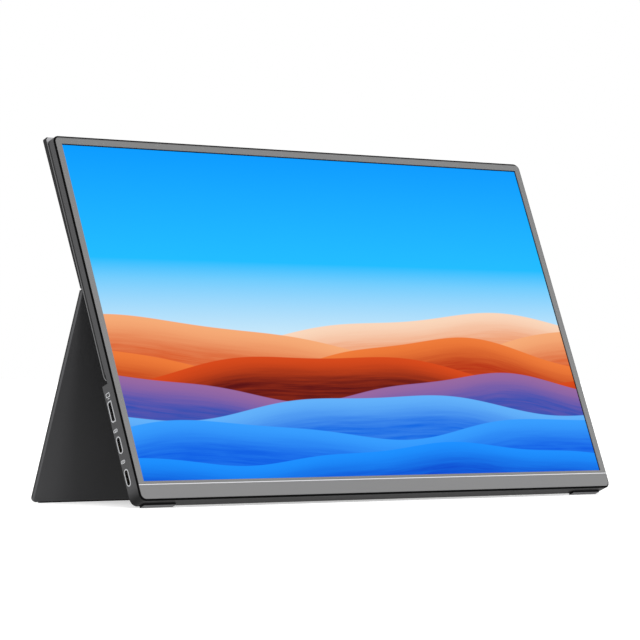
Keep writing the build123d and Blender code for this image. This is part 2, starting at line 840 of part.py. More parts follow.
# Back cover of the block, with speaker slots and the hooks that hold it
speaker_x = -(main_board_right + speaker_board_gap + speaker_width / 2)
jack_body_length = jack_reach - block_wall
jack_hollow_depth = jack_depth + jack_body_depth / 2 + jack_clearance - back_cover_front
with BuildPart() as lower_back_cover:
    with BuildSketch(behind(back_cover_front)):
        margin = back_cover_ledge - back_cover_clearance
        band(bay_half_width + margin, bay_bottom - margin, bay_top + margin)
        for side in (-1, 1):
            with Locations((side * speaker_x, speaker_up)):
                with GridLocations(slot_pitch, 1, slot_count, 1):
                    Rectangle(slot_width, slot_length, mode=Mode.SUBTRACT)
    extrude(amount=-back_cover_thickness)
    for wall_up, inwards in ((bay_top, -1), (bay_bottom, 1)):
        with BuildSketch(behind(hook_front)):
            with Locations((0, wall_up + inwards * (hook_clearance + hook_thickness / 2))):
                with GridLocations(hook_pitch, 1, hook_columns, 1):
                    Rectangle(hook_width, hook_thickness)
        extrude(amount=-hook_reach)
        with BuildSketch(behind(hook_front)):
            with Locations((0, wall_up + inwards * (hook_clearance + hook_thickness) / 2)):
                with GridLocations(hook_pitch, 1, hook_columns, 1):
                    Rectangle(hook_width, hook_thickness + hook_clearance)
            with Locations((0, wall_up - inwards * barb_reach / 2)):
                with GridLocations(hook_pitch, 1, hook_columns, 1):
                    Rectangle(hook_width, barb_reach)
        extrude(amount=-barb_height)
    # shallow hollow over the headphone jack's body
    with BuildSketch(behind(back_cover_front)):
        patch(
            bay_half_width - jack_body_length - jack_hollow_margin,
            bay_half_width + back_cover_ledge,
            jack_up - jack_body_width / 2 - jack_hollow_margin,
            jack_up + jack_body_width / 2 + jack_hollow_margin,
        )
    extrude(amount=-jack_hollow_depth, mode=Mode.SUBTRACT)
finish(lower_back_cover, "lower_back_cover")


def socket_shell(up, length, height, mouth_length, mouth_height, bevel, mouth_bevel):
    """A socket's metal shell: a flanged tube open to the left."""
    mouth = half_width - socket_inset
    with BuildPart() as shell:
        with BuildSketch(across(-mouth)):
            with Locations((up, socket_depth)):
                socket_outline(length + 2 * flange_rim, height + 2 * flange_rim, bevel)
        extrude(amount=-flange_thickness)
        with BuildSketch(across(-mouth)):
            with Locations((up, socket_depth)):
                socket_outline(length, height, bevel)
        extrude(amount=-shell_reach)
        with BuildSketch(across(-mouth)):
            with Locations((up, socket_depth)):
                socket_outline(mouth_length, mouth_height, mouth_bevel)
        extrude(amount=-shell_reach, mode=Mode.SUBTRACT)
    return shell


def socket_insulator(up, block_length, block_height, tongue_length, tongue_thickness):
    """The moulded insulator: a block that closes the shell's rear, with the contact tongue on it."""
    rear = half_width - socket_inset - shell_reach
    with BuildPart() as insulator:
        with BuildSketch(across(-rear)):
            with Locations((up, socket_depth)):
                Rectangle(block_length, block_height)
        extrude(amount=insulator_reach)
        with BuildSketch(across(-rear - insulator_reach)):
            with Locations((up, socket_depth)):
                Rectangle(tongue_length, tongue_thickness)
        extrude(amount=shell_reach - insulator_reach - tongue_recess)
    return insulator


wide_mouth_length = wide_shell_length - 2 * wide_shell_wall
wide_mouth_height = wide_shell_height - 2 * wide_shell_wall
wide_mouth_bevel = wide_shell_bevel - wide_shell_wall / 2
wide_shell = socket_shell(
    wide_socket_up,
    wide_shell_length,
    wide_shell_height,
    wide_mouth_length,
    wide_mouth_height,
    wide_shell_bevel,
    wide_mouth_bevel,
)
finish(wide_shell, "mini_hdmi_shell")
wide_insulator = socket_insulator(
    wide_socket_up,
    wide_mouth_length - 2 * wide_mouth_bevel,
    wide_mouth_height - 2 * stack_gap,
    wide_tongue_length,
    wide_tongue_thickness,
)
finish(wide_insulator, "mini_hdmi_insulator")

for name, up in narrow_socket_ups.items():
    narrow_shell = socket_shell(
        up, narrow_shell_length, narrow_shell_height, narrow_mouth_length, narrow_mouth_height, 0.0, 0.0
    )
    finish(narrow_shell, f"usb_c_{name}_shell")
    narrow_insulator = socket_insulator(
        up,
        narrow_mouth_length - narrow_mouth_height,
        narrow_mouth_height - 2 * stack_gap,
        narrow_tongue_length,
        narrow_tongue_thickness,
    )
    finish(narrow_insulator, f"usb_c_{name}_insulator")

# Main board, notched round the sockets, with its chips, shield can and screws
shell_rear = -half_width + socket_inset + shell_reach
socket_notches = [(wide_socket_up, wide_shell_length)]
socket_notches += [(up, narrow_shell_length) for up in narrow_socket_ups.values()]
with BuildPart() as main_board:
    with BuildSketch(behind(board_front)):
        patch(main_board_left, main_board_right, main_board_bottom, main_board_top)
        for up, length in socket_notches:
            patch(
                -half_width,
                shell_rear + socket_clearance,
                up - length / 2 - socket_clearance,
                up + length / 2 + socket_clearance,
                Mode.SUBTRACT,
            )
        with Locations(*main_board_points):
            Circle(screw_radius + screw_hole_clearance, mode=Mode.SUBTRACT)
    extrude(amount=-board_thickness)
finish(main_board, "main_board")

board_back = board_front + board_thickness
can_centre = (main_board_right - chip_margin - can_width, (main_board_bottom + main_board_top) / 2)
with BuildPart() as shield_can:
    with BuildSketch(behind(board_back)):
        with Locations(can_centre):
            Rectangle(can_width, can_height)
    extrude(amount=-can_depth)
    with BuildSketch(behind(board_back)):
        with Locations(can_centre):
            Rectangle(can_width - 2 * can_wall, can_height - 2 * can_wall)
    extrude(amount=-(can_depth - can_wall), mode=Mode.SUBTRACT)
finish(shield_can, "shield_can")

processor_spot = can_centre
memory_spot = (can_centre[0] - processor_size, can_centre[1])
power_chip_spot = (main_board_left + chip_margin + shell_reach, narrow_socket_ups["upper"])
upper_chip_spot = (main_board_right - chip_margin, main_board_top - chip_margin)
lower_chip_spot = (main_board_right - 2 * chip_margin, main_board_bottom + chip_margin)
chip_spots = [
    (processor_spot, processor_size, processor_size),
    (memory_spot, memory_width, memory_length),
    (power_chip_spot, power_chip_size, power_chip_size),
    (upper_chip_spot, memory_width, memory_length),
    (lower_chip_spot, memory_length, memory_width),
]
with BuildPart() as board_chips:
    with BuildSketch(behind(board_back)):
        for place, width, length in chip_spots:
            with Locations(place):
                Rectangle(width, length)
    extrude(amount=-chip_height)
finish(board_chips, "board_chips")

with BuildPart() as board_screws:
    with BuildSketch(behind(board_back)):
        with Locations(*standoff_points):
            Circle(screw_head_radius)
    extrude(amount=-screw_head_height)
    with BuildSketch(behind(board_back)):
        with Locations(*standoff_points):
            Circle(screw_radius)
    extrude(amount=board_back - mid_plate_back - screw_clearance)
finish(board_screws, "board_screws")

# Flat cable from the main board's front face down to the display driver board
ribbon_left = main_board_right - chip_margin - ribbon_width
ribbon_low = (driver_board_bottom + driver_board_top) / 2
ribbon_knee = driver_board_top + window_gap
ribbon_top = ribbon_knee + chip_margin
ribbon_front = driver_board_back
with BuildPart() as display_cable:
    with BuildSketch(across(ribbon_left)):
        with BuildLine():
            Polyline(
                (ribbon_low, ribbon_front),
                (ribbon_knee + ribbon_thickness, ribbon_front),
                (ribbon_knee + ribbon_thickness, board_front - ribbon_thickness),
                (ribbon_top, board_front - ribbon_thickness),
                (ribbon_top, board_front),
                (ribbon_knee, board_front),
                (ribbon_knee, ribbon_front + ribbon_thickness),
                (ribbon_low, ribbon_front + ribbon_thickness),
                close=True,
            )
        make_face()
    extrude(amount=-ribbon_width)
finish(display_cable, "display_cable")

# Flat cable along the steel plate from the main board to the key board
key_cable_up = speaker_up + speaker_height / 2 + key_cable_gap + key_cable_width / 2
key_cable_front = mid_plate_back + stack_gap
key_cable_back = key_cable_front + ribbon_thickness
landing_front = board_front - ribbon_thickness
landing_left = main_board_right - cable_landing
landing_right = key_board_left + cable_landing
with BuildPart() as key_cable:
    with BuildSketch(across_up(key_cable_up - key_cable_width / 2)):
        patch(main_board_right, key_board_left, key_cable_front, key_cable_back)
        patch(main_board_right, main_board_right + ribbon_thickness, key_cable_front, board_front)
        patch(landing_left, main_board_right + ribbon_thickness, landing_front, board_front)
        patch(key_board_left - ribbon_thickness, key_board_left, key_cable_front, board_front)
        patch(key_board_left - ribbon_thickness, landing_right, landing_front, board_front)
    extrude(amount=key_cable_width)
finish(key_cable, "key_cable")

# Speakers behind the slots, each with its diaphragm and a flat branch of the key cable
speaker_front = mid_plate_back + speaker_gap
speaker_back = speaker_front + speaker_depth
speaker_cable_back = speaker_back + ribbon_thickness
speaker_top = speaker_up + speaker_height / 2
cone_width = speaker_width - 2 * speaker_rim
cone_height = speaker_height - 2 * speaker_rim
for name, side in (("left", -1), ("right", 1)):
    with BuildPart() as speaker:
        with BuildSketch(behind(speaker_front)):
            with Locations((side * speaker_x, speaker_up)):
                Rectangle(speaker_width, speaker_height)
        extrude(amount=-speaker_depth)
        with BuildSketch(behind(speaker_back)):
            with Locations((side * speaker_x, speaker_up)):
                Rectangle(cone_width, cone_height)
        extrude(amount=cone_recess, mode=Mode.SUBTRACT)
    finish(speaker, f"speaker_{name}")

    with BuildPart() as cone:
        with BuildSketch(behind(speaker_back - cone_recess)):
            with Locations((side * speaker_x, speaker_up)):
                Rectangle(cone_width, cone_height)
        extrude(amount=-cone_thickness)
        chamfer(cone.faces().sort_by(back_axis)[-1].edges(), length=cone_bevel)
    finish(cone, f"speaker_{name}_cone")

    with BuildPart() as speaker_cable:
        with BuildSketch(across(side * speaker_x - key_cable_width / 2)):
            patch(speaker_top, key_cable_up, key_cable_back, key_cable_back + ribbon_thickness)
            patch(speaker_top, speaker_top + ribbon_thickness, key_cable_back, speaker_cable_back)
            patch(speaker_top - speaker_rim, speaker_top, speaker_back, speaker_cable_back)
        extrude(amount=-key_cable_width)
    finish(speaker_cable, f"speaker_{name}_cable")

# Key board with side switches, and the keys that press them
with BuildPart() as key_board:
    with BuildSketch(behind(board_front)):
        patch(key_board_left, key_board_right - switch_overhang, key_board_bottom, key_board_top)
        for up in key_ups.values():
            with Locations((key_board_right, up)):
                Rectangle(
                    2 * (switch_reach + socket_clearance),
                    switch_length + 2 * socket_clearance,
                    mode=Mode.SUBTRACT,
                )
        with Locations(*key_board_points):
            Circle(screw_radius + screw_hole_clearance, mode=Mode.SUBTRACT)
    extrude(amount=-board_thickness)
finish(key_board, "key_board")

with BuildPart() as key_switches:
    with BuildSketch(across(key_board_right)):
        for up in key_ups.values():
            with Locations((up, key_depth)):
                Rectangle(switch_length, switch_thickness)
    extrude(amount=switch_reach)
finish(key_switches, "key_switches")

wall_inside = half_width - block_wall
for name, up in key_ups.items():
    with BuildPart() as key:
        with BuildSketch(across(wall_inside - key_flange_gap)):
            with Locations((up, key_depth)):
                SlotOverall(key_length, key_height)
        extrude(amount=-(block_wall + key_flange_gap + key_proud))
        chamfer(key.faces().sort_by(Axis.X)[-1].edges(), length=key_bevel)
        with BuildSketch(across(wall_inside - key_flange_gap)):
            with Locations((up, key_depth)):
                Rectangle(key_length + 2 * key_flange_rim, key_height + 2 * key_flange_rim)
        extrude(amount=key_flange_thickness)
        with BuildSketch(across(wall_inside - key_flange_gap - key_flange_thickness)):
            with Locations((up, key_depth)):
                Rectangle(stem_width, stem_width)
        extrude(amount=stem_length)
    finish(key, f"key_{name}")

# Headphone jack: a moulded body with a nose that fills the round opening
with BuildPart() as headphone_jack:
    with BuildSketch(across(wall_inside)):
        with Locations((jack_up, jack_depth)):
            Rectangle(jack_body_width, jack_body_depth)
    extrude(amount=jack_body_length)
    with BuildSketch(across(half_width - socket_inset)):
        with Locations((jack_up, jack_depth)):
            Circle(jack_nose_radius)
    extrude(amount=block_wall)
    with BuildSketch(across(half_width - socket_inset)):
        with Locations((jack_up, jack_depth)):
            Circle(jack_bore_radius)
    extrude(amount=jack_bore_depth, mode=Mode.SUBTRACT)
finish(headphone_jack, "headphone_jack")
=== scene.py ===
"""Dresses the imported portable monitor: finishes, picture, small signs and contacts, studio and camera."""

import json
import math

import bpy
import numpy as np
from bpy.props import FloatProperty, FloatVectorProperty, PointerProperty
from bpy.types import Operator, Panel, PropertyGroup
from mathutils import Euler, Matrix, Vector


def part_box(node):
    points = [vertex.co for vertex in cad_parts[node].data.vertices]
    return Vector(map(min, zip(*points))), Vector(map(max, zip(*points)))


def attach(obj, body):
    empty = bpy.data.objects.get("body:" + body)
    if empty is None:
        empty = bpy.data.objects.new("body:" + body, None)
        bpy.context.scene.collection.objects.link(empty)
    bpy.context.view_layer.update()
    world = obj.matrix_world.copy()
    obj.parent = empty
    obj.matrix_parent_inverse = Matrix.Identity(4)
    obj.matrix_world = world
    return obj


bl_info = {
    "name": "Portable Monitor",
    "version": (1, 0, 0),
    "blender": (4, 5, 0),
    "location": "3D View > Sidebar > Monitor",
    "description": "Dresses a portable monitor on a kickstand, with its studio",
    "category": "Object",
}

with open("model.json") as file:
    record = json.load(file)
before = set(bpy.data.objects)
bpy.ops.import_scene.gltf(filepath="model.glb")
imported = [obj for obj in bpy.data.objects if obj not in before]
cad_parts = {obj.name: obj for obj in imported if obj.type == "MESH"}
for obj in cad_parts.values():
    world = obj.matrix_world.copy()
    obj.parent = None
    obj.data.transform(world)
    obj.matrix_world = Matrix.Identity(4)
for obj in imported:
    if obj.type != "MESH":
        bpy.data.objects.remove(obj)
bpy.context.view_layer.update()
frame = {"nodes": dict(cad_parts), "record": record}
joints = {joint["name"]: joint for joint in frame["record"]["behaviour"]["joints"]}
hinge_place = Vector(joints["kickstand_hinge"]["pos_m"])

# to the viewer's right, and a thousandth of a millimetre in metres
ACROSS = Vector((1, 0, 0))
MICRON = 0.000001


def colour(red, green, blue):
    """A colour given as 0 to 255 on a display, in the linear values that shaders take."""
    return tuple((value / 255) ** 2.2 for value in (red, green, blue))


def shaded(base, factor):
    """A colour made darker or paler by a factor."""
    return tuple(value * factor for value in base)


# What a user would change


def length(name, description, default):
    """A setting in metres."""
    return FloatProperty(name=name, description=description, default=default, unit="LENGTH")


def angle(name, description, degrees):
    """A setting that is an angle, with its default given in degrees."""
    default = math.radians(degrees)
    return FloatProperty(name=name, description=description, default=default, subtype="ANGLE")


def sign_place(name, description, default):
    """A setting of two lengths: a sign's height up the screen and its depth behind the bezel's face."""
    return FloatVectorProperty(name=name, description=description, default=default, size=2, unit="LENGTH")


def paint(name, description, default):
    """A setting that is a colour."""
    return FloatVectorProperty(name=name, description=description, default=default, subtype="COLOR")


class MonitorSizes(PropertyGroup):
    """Lengths and angles of the dressing, most of them those of the CAD."""

    lean: angle("Lean", "How far the screen leans back", 21.826)
    hinge_up: length(
        "Hinge height", "From the picture's lower edge up the screen to the kickstand's hinge line",
        0.1109,
    )
    hinge_depth: length(
        "Hinge depth", "From the bezel's face back to the kickstand's hinge line", 0.00785
    )
    leg_opening: angle("Leg opening", "Angle between the screen and the leg as it stands", 42.6)
    leg_thickness: length("Leg thickness", "Thickness of the kickstand's leg", 0.0019)
    leg_bevel: length("Leg bevel", "Width of the bevel along the sides of the kickstand's leg", 0.0008)
    hinge_x: length("Hinge place", "X of the middle of the right hinge, and minus that of the left", 0.11)
    picture_width: length("Picture width", "Width of the lit picture", 0.3442)
    picture_height: length("Picture height", "Height of the lit picture", 0.1936)
    mask_top: length("Mask at the top", "Unlit black above the lit picture", 0.00025)
    mask_side: length("Mask at the sides", "Unlit black beside the lit picture", 0.0002)
    # painted light on the leg's lower corners: how far down the leg it is full, and from where out it
    # starts
    painted_light_down: length(
        "Worn length", "From the hinge line down the leg to where its coating is most worn", 0.12
    )
    painted_light_from: length("Worn from", "From the middle out to where the leg's coating starts to wear", 0.13)
    # painted shade on the walls towards the underside: where it starts and where it is darkest
    painted_shade_top: length(
        "Shade top", "Height up the screen where the wall's finish starts to darken", -0.001
    )
    painted_shade_bottom: length(
        "Shade bottom", "Height up the screen where the wall's finish is darkest", -0.0095
    )
    # painted shade along the bezel's top edge: where it starts and where it is full
    painted_shade_rim_bottom: length(
        "Rim bottom", "Height up the screen where the shade on the bezel's top edge starts", 0.1970
    )
    painted_shade_rim_top: length(
        "Rim top", "Height up the screen where the shade on the bezel's top edge is full", 0.1974
    )
    wall_x: length("Left wall", "X of the housing's left wall", -0.1771)
    key_face_x: length("Key faces", "X of the outer faces of the keys", 0.1776)
    socket_depth: length(
        "Socket depth", "From the bezel's face back to the middle of the sockets", 0.0068
    )
    # painted light from below on the pads' soles: where it starts
    painted_lit_sole: length(
        "Pad sole", "Height up the screen below which a pad's sole shows its paler rubber", -0.0118
    )
    screen_sign: sign_place(
        "Screen sign", "Height up the screen and depth of the sign over the wide socket", (0.0505, 0.0064)
    )
    upper_sign: sign_place(
        "Upper sign", "Height up the screen and depth of the sign over the upper narrow socket",
        (0.0306, 0.0071),
    )
    lower_sign: sign_place(
        "Lower sign", "Height up the screen and depth of the sign over the lower narrow socket",
        (0.0132, 0.0071),
    )
    sign_height: length("Sign height", "Height of a sign beside a socket", 0.0023)
    sign_stroke: length("Sign stroke", "Width of a sign's lines", 0.00032)
    sign_proud: length("Sign thickness", "How far the printed signs stand off the wall", 0.00002)
    contact_width: length("Contact width", "Width of one gold contact in a socket", 0.00025)
    contact_proud: length("Contact thickness", "How far a contact stands off its tongue", 0.00003)
    contact_setback: length("Contact setback", "From the tip of a tongue back to its contacts", 0.0004)
    rivet_radius: length("Rivet radius", "Radius of a rivet's head on a hinge leaf", 0.0015)
    rivet_height: length("Rivet height", "Height of a rivet's head", 0.0002)
    rivet_down: length("Rivet place", "From the hinge line down the leg to its row of rivets", 0.0085)
    rivet_pitch: length("Rivet pitch", "From one rivet to the next along the hinge", 0.013)
    floor_radius: length("Floor radius", "How far the studio floor reaches", 30.0)


class MonitorColours(PropertyGroup):
    """Base colours of the finishes."""

    bezel: paint("Bezel", "Satin grey of the bezel and chin", colour(101, 101, 101))
    wall: paint("Wall", "Dark grey of the side walls", colour(72, 72, 73))
    sheet: paint("Sheet", "Silver of the sheet on the slim body", colour(160, 160, 162))
    stand: paint("Stand", "Near-black of the kickstand", colour(48, 48, 49))
    plate: paint("Back plate", "Darker coating of the back plate", colour(33, 33, 34))
    cut_edge: paint("Cut edge", "Dull cut edge of the silver sheet", colour(112, 112, 113))
    rubber: paint("Rubber", "Black of the pads and the foot strip", colour(18, 18, 19))
    # painted light: colour of the pads' soles lit from below
    painted_lit_sole: paint("Pad sole", "Paler rubber on the soles of the pads", colour(108, 108, 109))
    seam: paint("Seam", "Deep black of the seam round the bezel", colour(19, 19, 19))
    steel: paint("Steel", "Plain steel of the sockets and screws", colour(178, 179, 181))
    hinge: paint("Hinge", "Black-nickelled steel of the hinges", colour(112, 112, 115))
    floor: paint("Floor", "Pale studio floor", (0.8, 0.8, 0.8))


class MonitorCamera(PropertyGroup):
    """The photograph's camera, fitted to the picture's corners and the edges of the walls."""

    place: FloatVectorProperty(
        name="Place", description="Where the camera stands", default=(-1.258886, -1.407428, 0.070612),
        subtype="TRANSLATION",
    )
    turn: FloatVectorProperty(
        name="Turn", description="Tilt, roll and heading of the camera",
        default=(math.radians(90.91594), math.radians(-0.19507), math.radians(-41.5888)), subtype="EULER",
    )
    shift: FloatVectorProperty(
        name="Shift", description="Small shift of the frame, as shares of its width",
        default=(-0.00055, 0.0008), size=2,
    )
    lens: FloatProperty(
        name="Lens", description="Focal length on a sensor 36 mm wide", default=187.347, unit="CAMERA"
    )


def sizes():
    """The sizes set in the scene."""
    return bpy.context.scene.monitor_sizes


def colours():
    """The colours set in the scene."""
    return bpy.context.scene.monitor_colours


# The leaning screen's own directions


def screen_up():
    """Unit vector up the leaning screen."""
    return Vector((0, math.sin(sizes().lean), math.cos(sizes().lean)))


def screen_inward():
    """Unit vector into the leaning screen, away from the viewer."""
    return Vector((0, math.cos(sizes().lean), -math.sin(sizes().lean)))


def screen_origin():
    """The middle of the picture's lower edge, on the bezel's face."""
    return hinge_place - screen_up() * sizes().hinge_up - screen_inward() * sizes().hinge_depth


def on_screen(points):
    """Rows of (x, height up the screen, depth) in metres, put where they are on the object."""
    turn = np.array([ACROSS, screen_up(), screen_inward()])
    return np.asarray(points, float) @ turn + np.array(screen_origin())


def leg_down():
    """Unit vector down the kickstand's leg as it stands."""
    slope = sizes().leg_opening - sizes().lean
    return Vector((0, math.sin(slope), -math.cos(slope)))


def on_leg(points):
    """Rows of (x, distance down the leg from the hinge line, distance off its inner face), put there."""
    off = leg_down().cross(ACROSS)
    turn = np.array([ACROSS, leg_down(), off])
    face = np.array(hinge_place + sizes().leg_thickness / 2 * off)
    return np.asarray(points, float) @ turn + face


# Materials in the making, and the two kinds of surface that most of them are


class Finish:
    """A material under construction: a node tree whose last node is one Principled shader."""

    def __init__(self, name):
        self.material = bpy.data.materials.new(name)
        self.material.use_nodes = True
        self.nodes = self.material.node_tree.nodes
        self.links = self.material.node_tree.links
        self.shader = self.nodes["Principled BSDF"]

    def fill(self, socket, value):
        """Links an input to another node's result, or gives it a plain value."""
        if isinstance(value, bpy.types.NodeSocket):
            self.links.new(value, socket)
        else:
            socket.default_value = value

    def node(self, kind, inputs=(), **settings):
        """A node with its settings made and its inputs filled or linked, in order."""
        made = self.nodes.new(kind)
        for key, value in settings.items():
            setattr(made, key, value)
        for socket, value in inputs:
            self.fill(made.inputs[socket], value)
        return made

    def set(self, socket, value):
        """Fills or links one input of the shader."""
        self.fill(self.shader.inputs[socket], value)

    def place(self, stretch=(1, 1, 1)):
        """The point on the object in metres, stretched."""
        source = self.node("ShaderNodeTexCoord").outputs["Object"]
        return self.node("ShaderNodeMapping", [("Vector", source), ("Scale", stretch)]).outputs["Vector"]

    def along(self, start, direction):
        """How far the point lies from a place, measured along a direction."""
        place = self.node("ShaderNodeTexCoord").outputs["Object"]
        offset = self.node("ShaderNodeVectorMath", [(0, place), (1, tuple(start))], operation="SUBTRACT")
        along = [(0, offset.outputs["Vector"]), (1, tuple(direction))]
        return self.node("ShaderNodeVectorMath", along, operation="DOT_PRODUCT").outputs["Value"]

    def height_up(self):
        """How far up the screen the point lies from the picture's lower edge."""
        return self.along(screen_origin(), screen_up())

    def from_middle(self):
        """How far the point lies to either side of the object's middle."""
        return self.math("ABSOLUTE", self.along(screen_origin(), ACROSS))

    def near_wall(self, reach):
        """1 where the point lies within reach of a side wall's face or outside it, 0 elsewhere."""
        return self.math("GREATER_THAN", self.from_middle(), -sizes().wall_x - reach)

    def noise(self, vector, scale, detail=2.0, roughness=0.5):
        """Fractal noise from 0 to 1."""
        inputs = [("Vector", vector), ("Scale", scale), ("Detail", detail), ("Roughness", roughness)]
        return self.node("ShaderNodeTexNoise", inputs).outputs["Fac"]

    def math(self, operation, first, second=0.0):
        """One sum on one or two numbers."""
        return self.node("ShaderNodeMath", [(0, first), (1, second)], operation=operation).outputs[0]

    def weigh(self, first, first_share, second, second_share):
        """Two numbers added, each taken by its share."""
        first_part = self.math("MULTIPLY", first, first_share)
        return self.math("ADD", first_part, self.math("MULTIPLY", second, second_share))

    def remap(self, value, low, high, to_low, to_high, smooth=False):
        """A number carried from one range to another, kept within the second."""
        inputs = [("Value", value), ("From Min", low), ("From Max", high)]
        inputs += [("To Min", to_low), ("To Max", to_high)]
        kind = "SMOOTHSTEP" if smooth else "LINEAR"
        return self.node("ShaderNodeMapRange", inputs, interpolation_type=kind).outputs["Result"]

    def vary(self, noise, to_low, to_high, reach=0.2):
        """A number that follows a noise as it goes from reach below a half to reach above it."""
        return self.remap(noise, 0.5 - reach, 0.5 + reach, to_low, to_high)

    def mix(self, factor, first, second, blend="MIX"):
        """Two colours mixed by a factor."""
        made = self.node("ShaderNodeMix", [(0, factor)], data_type="RGBA", blend_type=blend)
        for socket, value in ((6, first), (7, second)):
            linked = isinstance(value, bpy.types.NodeSocket)
            self.fill(made.inputs[socket], value if linked else (*value[:3], 1))
        return made.outputs[2]

    def darken(self, factor):
        """Multiplies the base colour that was set before by a factor."""
        before = self.shader.inputs["Base Color"].links[0].from_socket
        self.set("Base Color", self.mix(1.0, before, factor, "MULTIPLY"))

    def bump(self, height, distance):
        """Gives the shader a bumpy normal from a height."""
        inputs = [("Height", height), ("Distance", distance), ("Strength", 1.0)]
        self.set("Normal", self.node("ShaderNodeBump", inputs).outputs["Normal"])


def grained_finish(name, base, spread, roughness, grain, depth):
    """A plain surface with fine grain: colour and gloss vary a little, and the grain is raised.

    The spread is how far its colour varies, the grain is the scale of the noise, and the depth is how high
    the grain stands.
    """
    finish = Finish(name)
    fine = finish.noise(finish.place(), grain, detail=3.0, roughness=0.6)
    broad = finish.noise(finish.place(), CLOUD_SCALE)
    # between 0.12 and 0.88, so that neither end of the colour's range is reached
    shade = finish.math("ADD", finish.weigh(fine, 0.36, broad, 0.4), 0.12)
    finish.set("Base Color", finish.mix(shade, shaded(base, 1 - spread), shaded(base, 1 + spread)))
    finish.set("Roughness", finish.vary(fine, roughness - 0.05, roughness + 0.05))
    finish.bump(fine, depth)
    return finish


def grained(name, base, **look):
    """The material of a grained finish that needs nothing more."""
    return grained_finish(name, base, **look).material


def brushed(name, base, roughness, stretch, depth):
    """A brushed metal: fine lines along one direction in colour, gloss and relief.

    The stretch is how quickly the lines change along each direction, and the depth is how high they stand.
    """
    finish = Finish(name)
    lines = finish.noise(finish.place(stretch), 1.0, detail=3.0, roughness=0.7)
    broad = finish.noise(finish.place(), 25.0)
    dark = shaded(base, 0.86)
    tone = finish.mix(lines, dark, base)
    finish.set("Base Color", finish.mix(finish.math("MULTIPLY", broad, 0.25), tone, dark))
    finish.set("Roughness", finish.vary(lines, roughness - 0.06, roughness + 0.08, reach=0.25))
    finish.set("Metallic", 1.0)
    finish.bump(lines, depth)
    return finish.material


# Finishes

# scale of the broad clouds in a grained surface, and how near a wall's face a point counts as on a cut edge
CLOUD_SCALE = 18.0
EDGE_MARGIN = 20 * MICRON


def bezel_paint():
    """Satin grey lacquer of the bezel and chin, with painted shade that darkens it up the screen and along
    the bezel's top edge.
    """
    look = {"spread": 0.05, "roughness": 0.42, "grain": 3800.0, "depth": 12 * MICRON}
    finish = grained_finish("bezel_paint", colours().bezel, **look)
    height = finish.height_up()
    # painted shade: the lacquer darkens up the screen
    fade = finish.remap(height, 0.0, sizes().picture_height, 1.0, 0.87)
    # painted shade along the bezel's top edge
    painted_shade_rim = finish.remap(height, sizes().painted_shade_rim_bottom, sizes().painted_shade_rim_top, 1.0, 0.15, smooth=True)
    finish.darken(finish.math("MULTIPLY", fade, painted_shade_rim))
    return finish.material


def polished_edge():
    """Bright diamond-cut trim."""
    look = {"roughness": 0.34, "stretch": (60.0, 6000.0, 6000.0), "depth": 2 * MICRON}
    return brushed("polished_edge", colour(205, 205, 207), **look)


def wall_anodised():
    """Dark bead-blasted metal of the side walls and block, with painted shade that darkens it towards the
    underside.
    """
    finish = Finish("wall_anodised")
    base = colours().wall
    fine = finish.noise(finish.place(), 5200.0, detail=3.0, roughness=0.6)
    broad = finish.noise(finish.place(), CLOUD_SCALE)
    grain = finish.mix(finish.weigh(fine, 0.5, broad, 0.5), shaded(base, 0.9), shaded(base, 1.1))
    height = finish.height_up()
    # painted shade: the walls darken towards the underside, down to 0.12 of their colour
    low = finish.remap(height, sizes().painted_shade_bottom, sizes().painted_shade_top, 1.0, 0.0, smooth=True)
    finish.set("Base Color", finish.mix(low, grain, shaded(base, 0.12)))
    finish.set("Roughness", finish.vary(fine, 0.4, 0.5))
    finish.set("Metallic", 0.35)
    finish.set("Specular IOR Level", 0.12)
    finish.bump(fine, 12 * MICRON)
    return finish.material


def sheet_silver():
    """Silver anodised sheet with dull cut edges at its sides."""
    finish = Finish("sheet_silver")
    base = colours().sheet
    lines = finish.noise(finish.place((80.0, 5200.0, 5200.0)), 1.0, detail=3.0, roughness=0.7)
    face = finish.mix(lines, shaded(base, 0.86), base)
    finish.set("Base Color", finish.mix(finish.near_wall(EDGE_MARGIN), face, colours().cut_edge))
    finish.set("Roughness", finish.vary(lines, 0.28, 0.42, reach=0.25))
    finish.set("Metallic", 0.85)
    finish.bump(lines, 4 * MICRON)
    return finish.material


def stand_coating(name, base, bevel=0.0, worn=0.0):
    """Near-black fine-textured coating of the kickstand and of the back plate.

    It has a painted highlight on bevels along the sides and, where the amount of painted light is over 0,
    painted light towards the leg's lower corners.
    Its cut edges are darker.
    """
    finish = Finish(name)
    fine = finish.noise(finish.place(), 4200.0, detail=3.0, roughness=0.65)
    broad = finish.noise(finish.place(), 14.0, detail=3.0)
    coat = finish.mix(finish.vary(broad, 0.2, 0.8), shaded(base, 0.85), shaded(base, 1.15))
    # painted light towards the leg's lower corners
    low = finish.remap(finish.along(hinge_place, leg_down()), 0.0, sizes().painted_light_down, 0.0, worn)
    outer = finish.remap(finish.from_middle(), sizes().painted_light_from, -sizes().wall_x, 0.0, 1.0)
    coat = finish.mix(finish.math("MULTIPLY", low, outer), coat, shaded(base, 2.0))
    # painted highlight along the bevels at the leg's sides
    coat = finish.mix(finish.near_wall(bevel), coat, shaded(base, 2.3))
    coat = finish.mix(finish.near_wall(EDGE_MARGIN), coat, shaded(base, 0.5))
    finish.set("Base Color", coat)
    finish.set("Roughness", finish.vary(fine, 0.54, 0.7))
    finish.set("Specular IOR Level", 0.25)
    finish.bump(fine, 30 * MICRON)
    return finish.material


def cover_plastic():
    """Dark moulded plastic with spark-eroded texture."""
    look = {"spread": 0.1, "roughness": 0.58, "grain": 2600.0, "depth": 30 * MICRON}
    return grained("cover_plastic", colour(52, 52, 54), **look)


def seam_black():
    """Dead-black soft foam of the seam, which doesn't shine."""
    look = {"spread": 0.2, "roughness": 0.98, "grain": 2200.0, "depth": 20 * MICRON}
    finish = grained_finish("seam_black", colours().seam, **look)
    finish.set("Specular IOR Level", 0.0)
    return finish.material


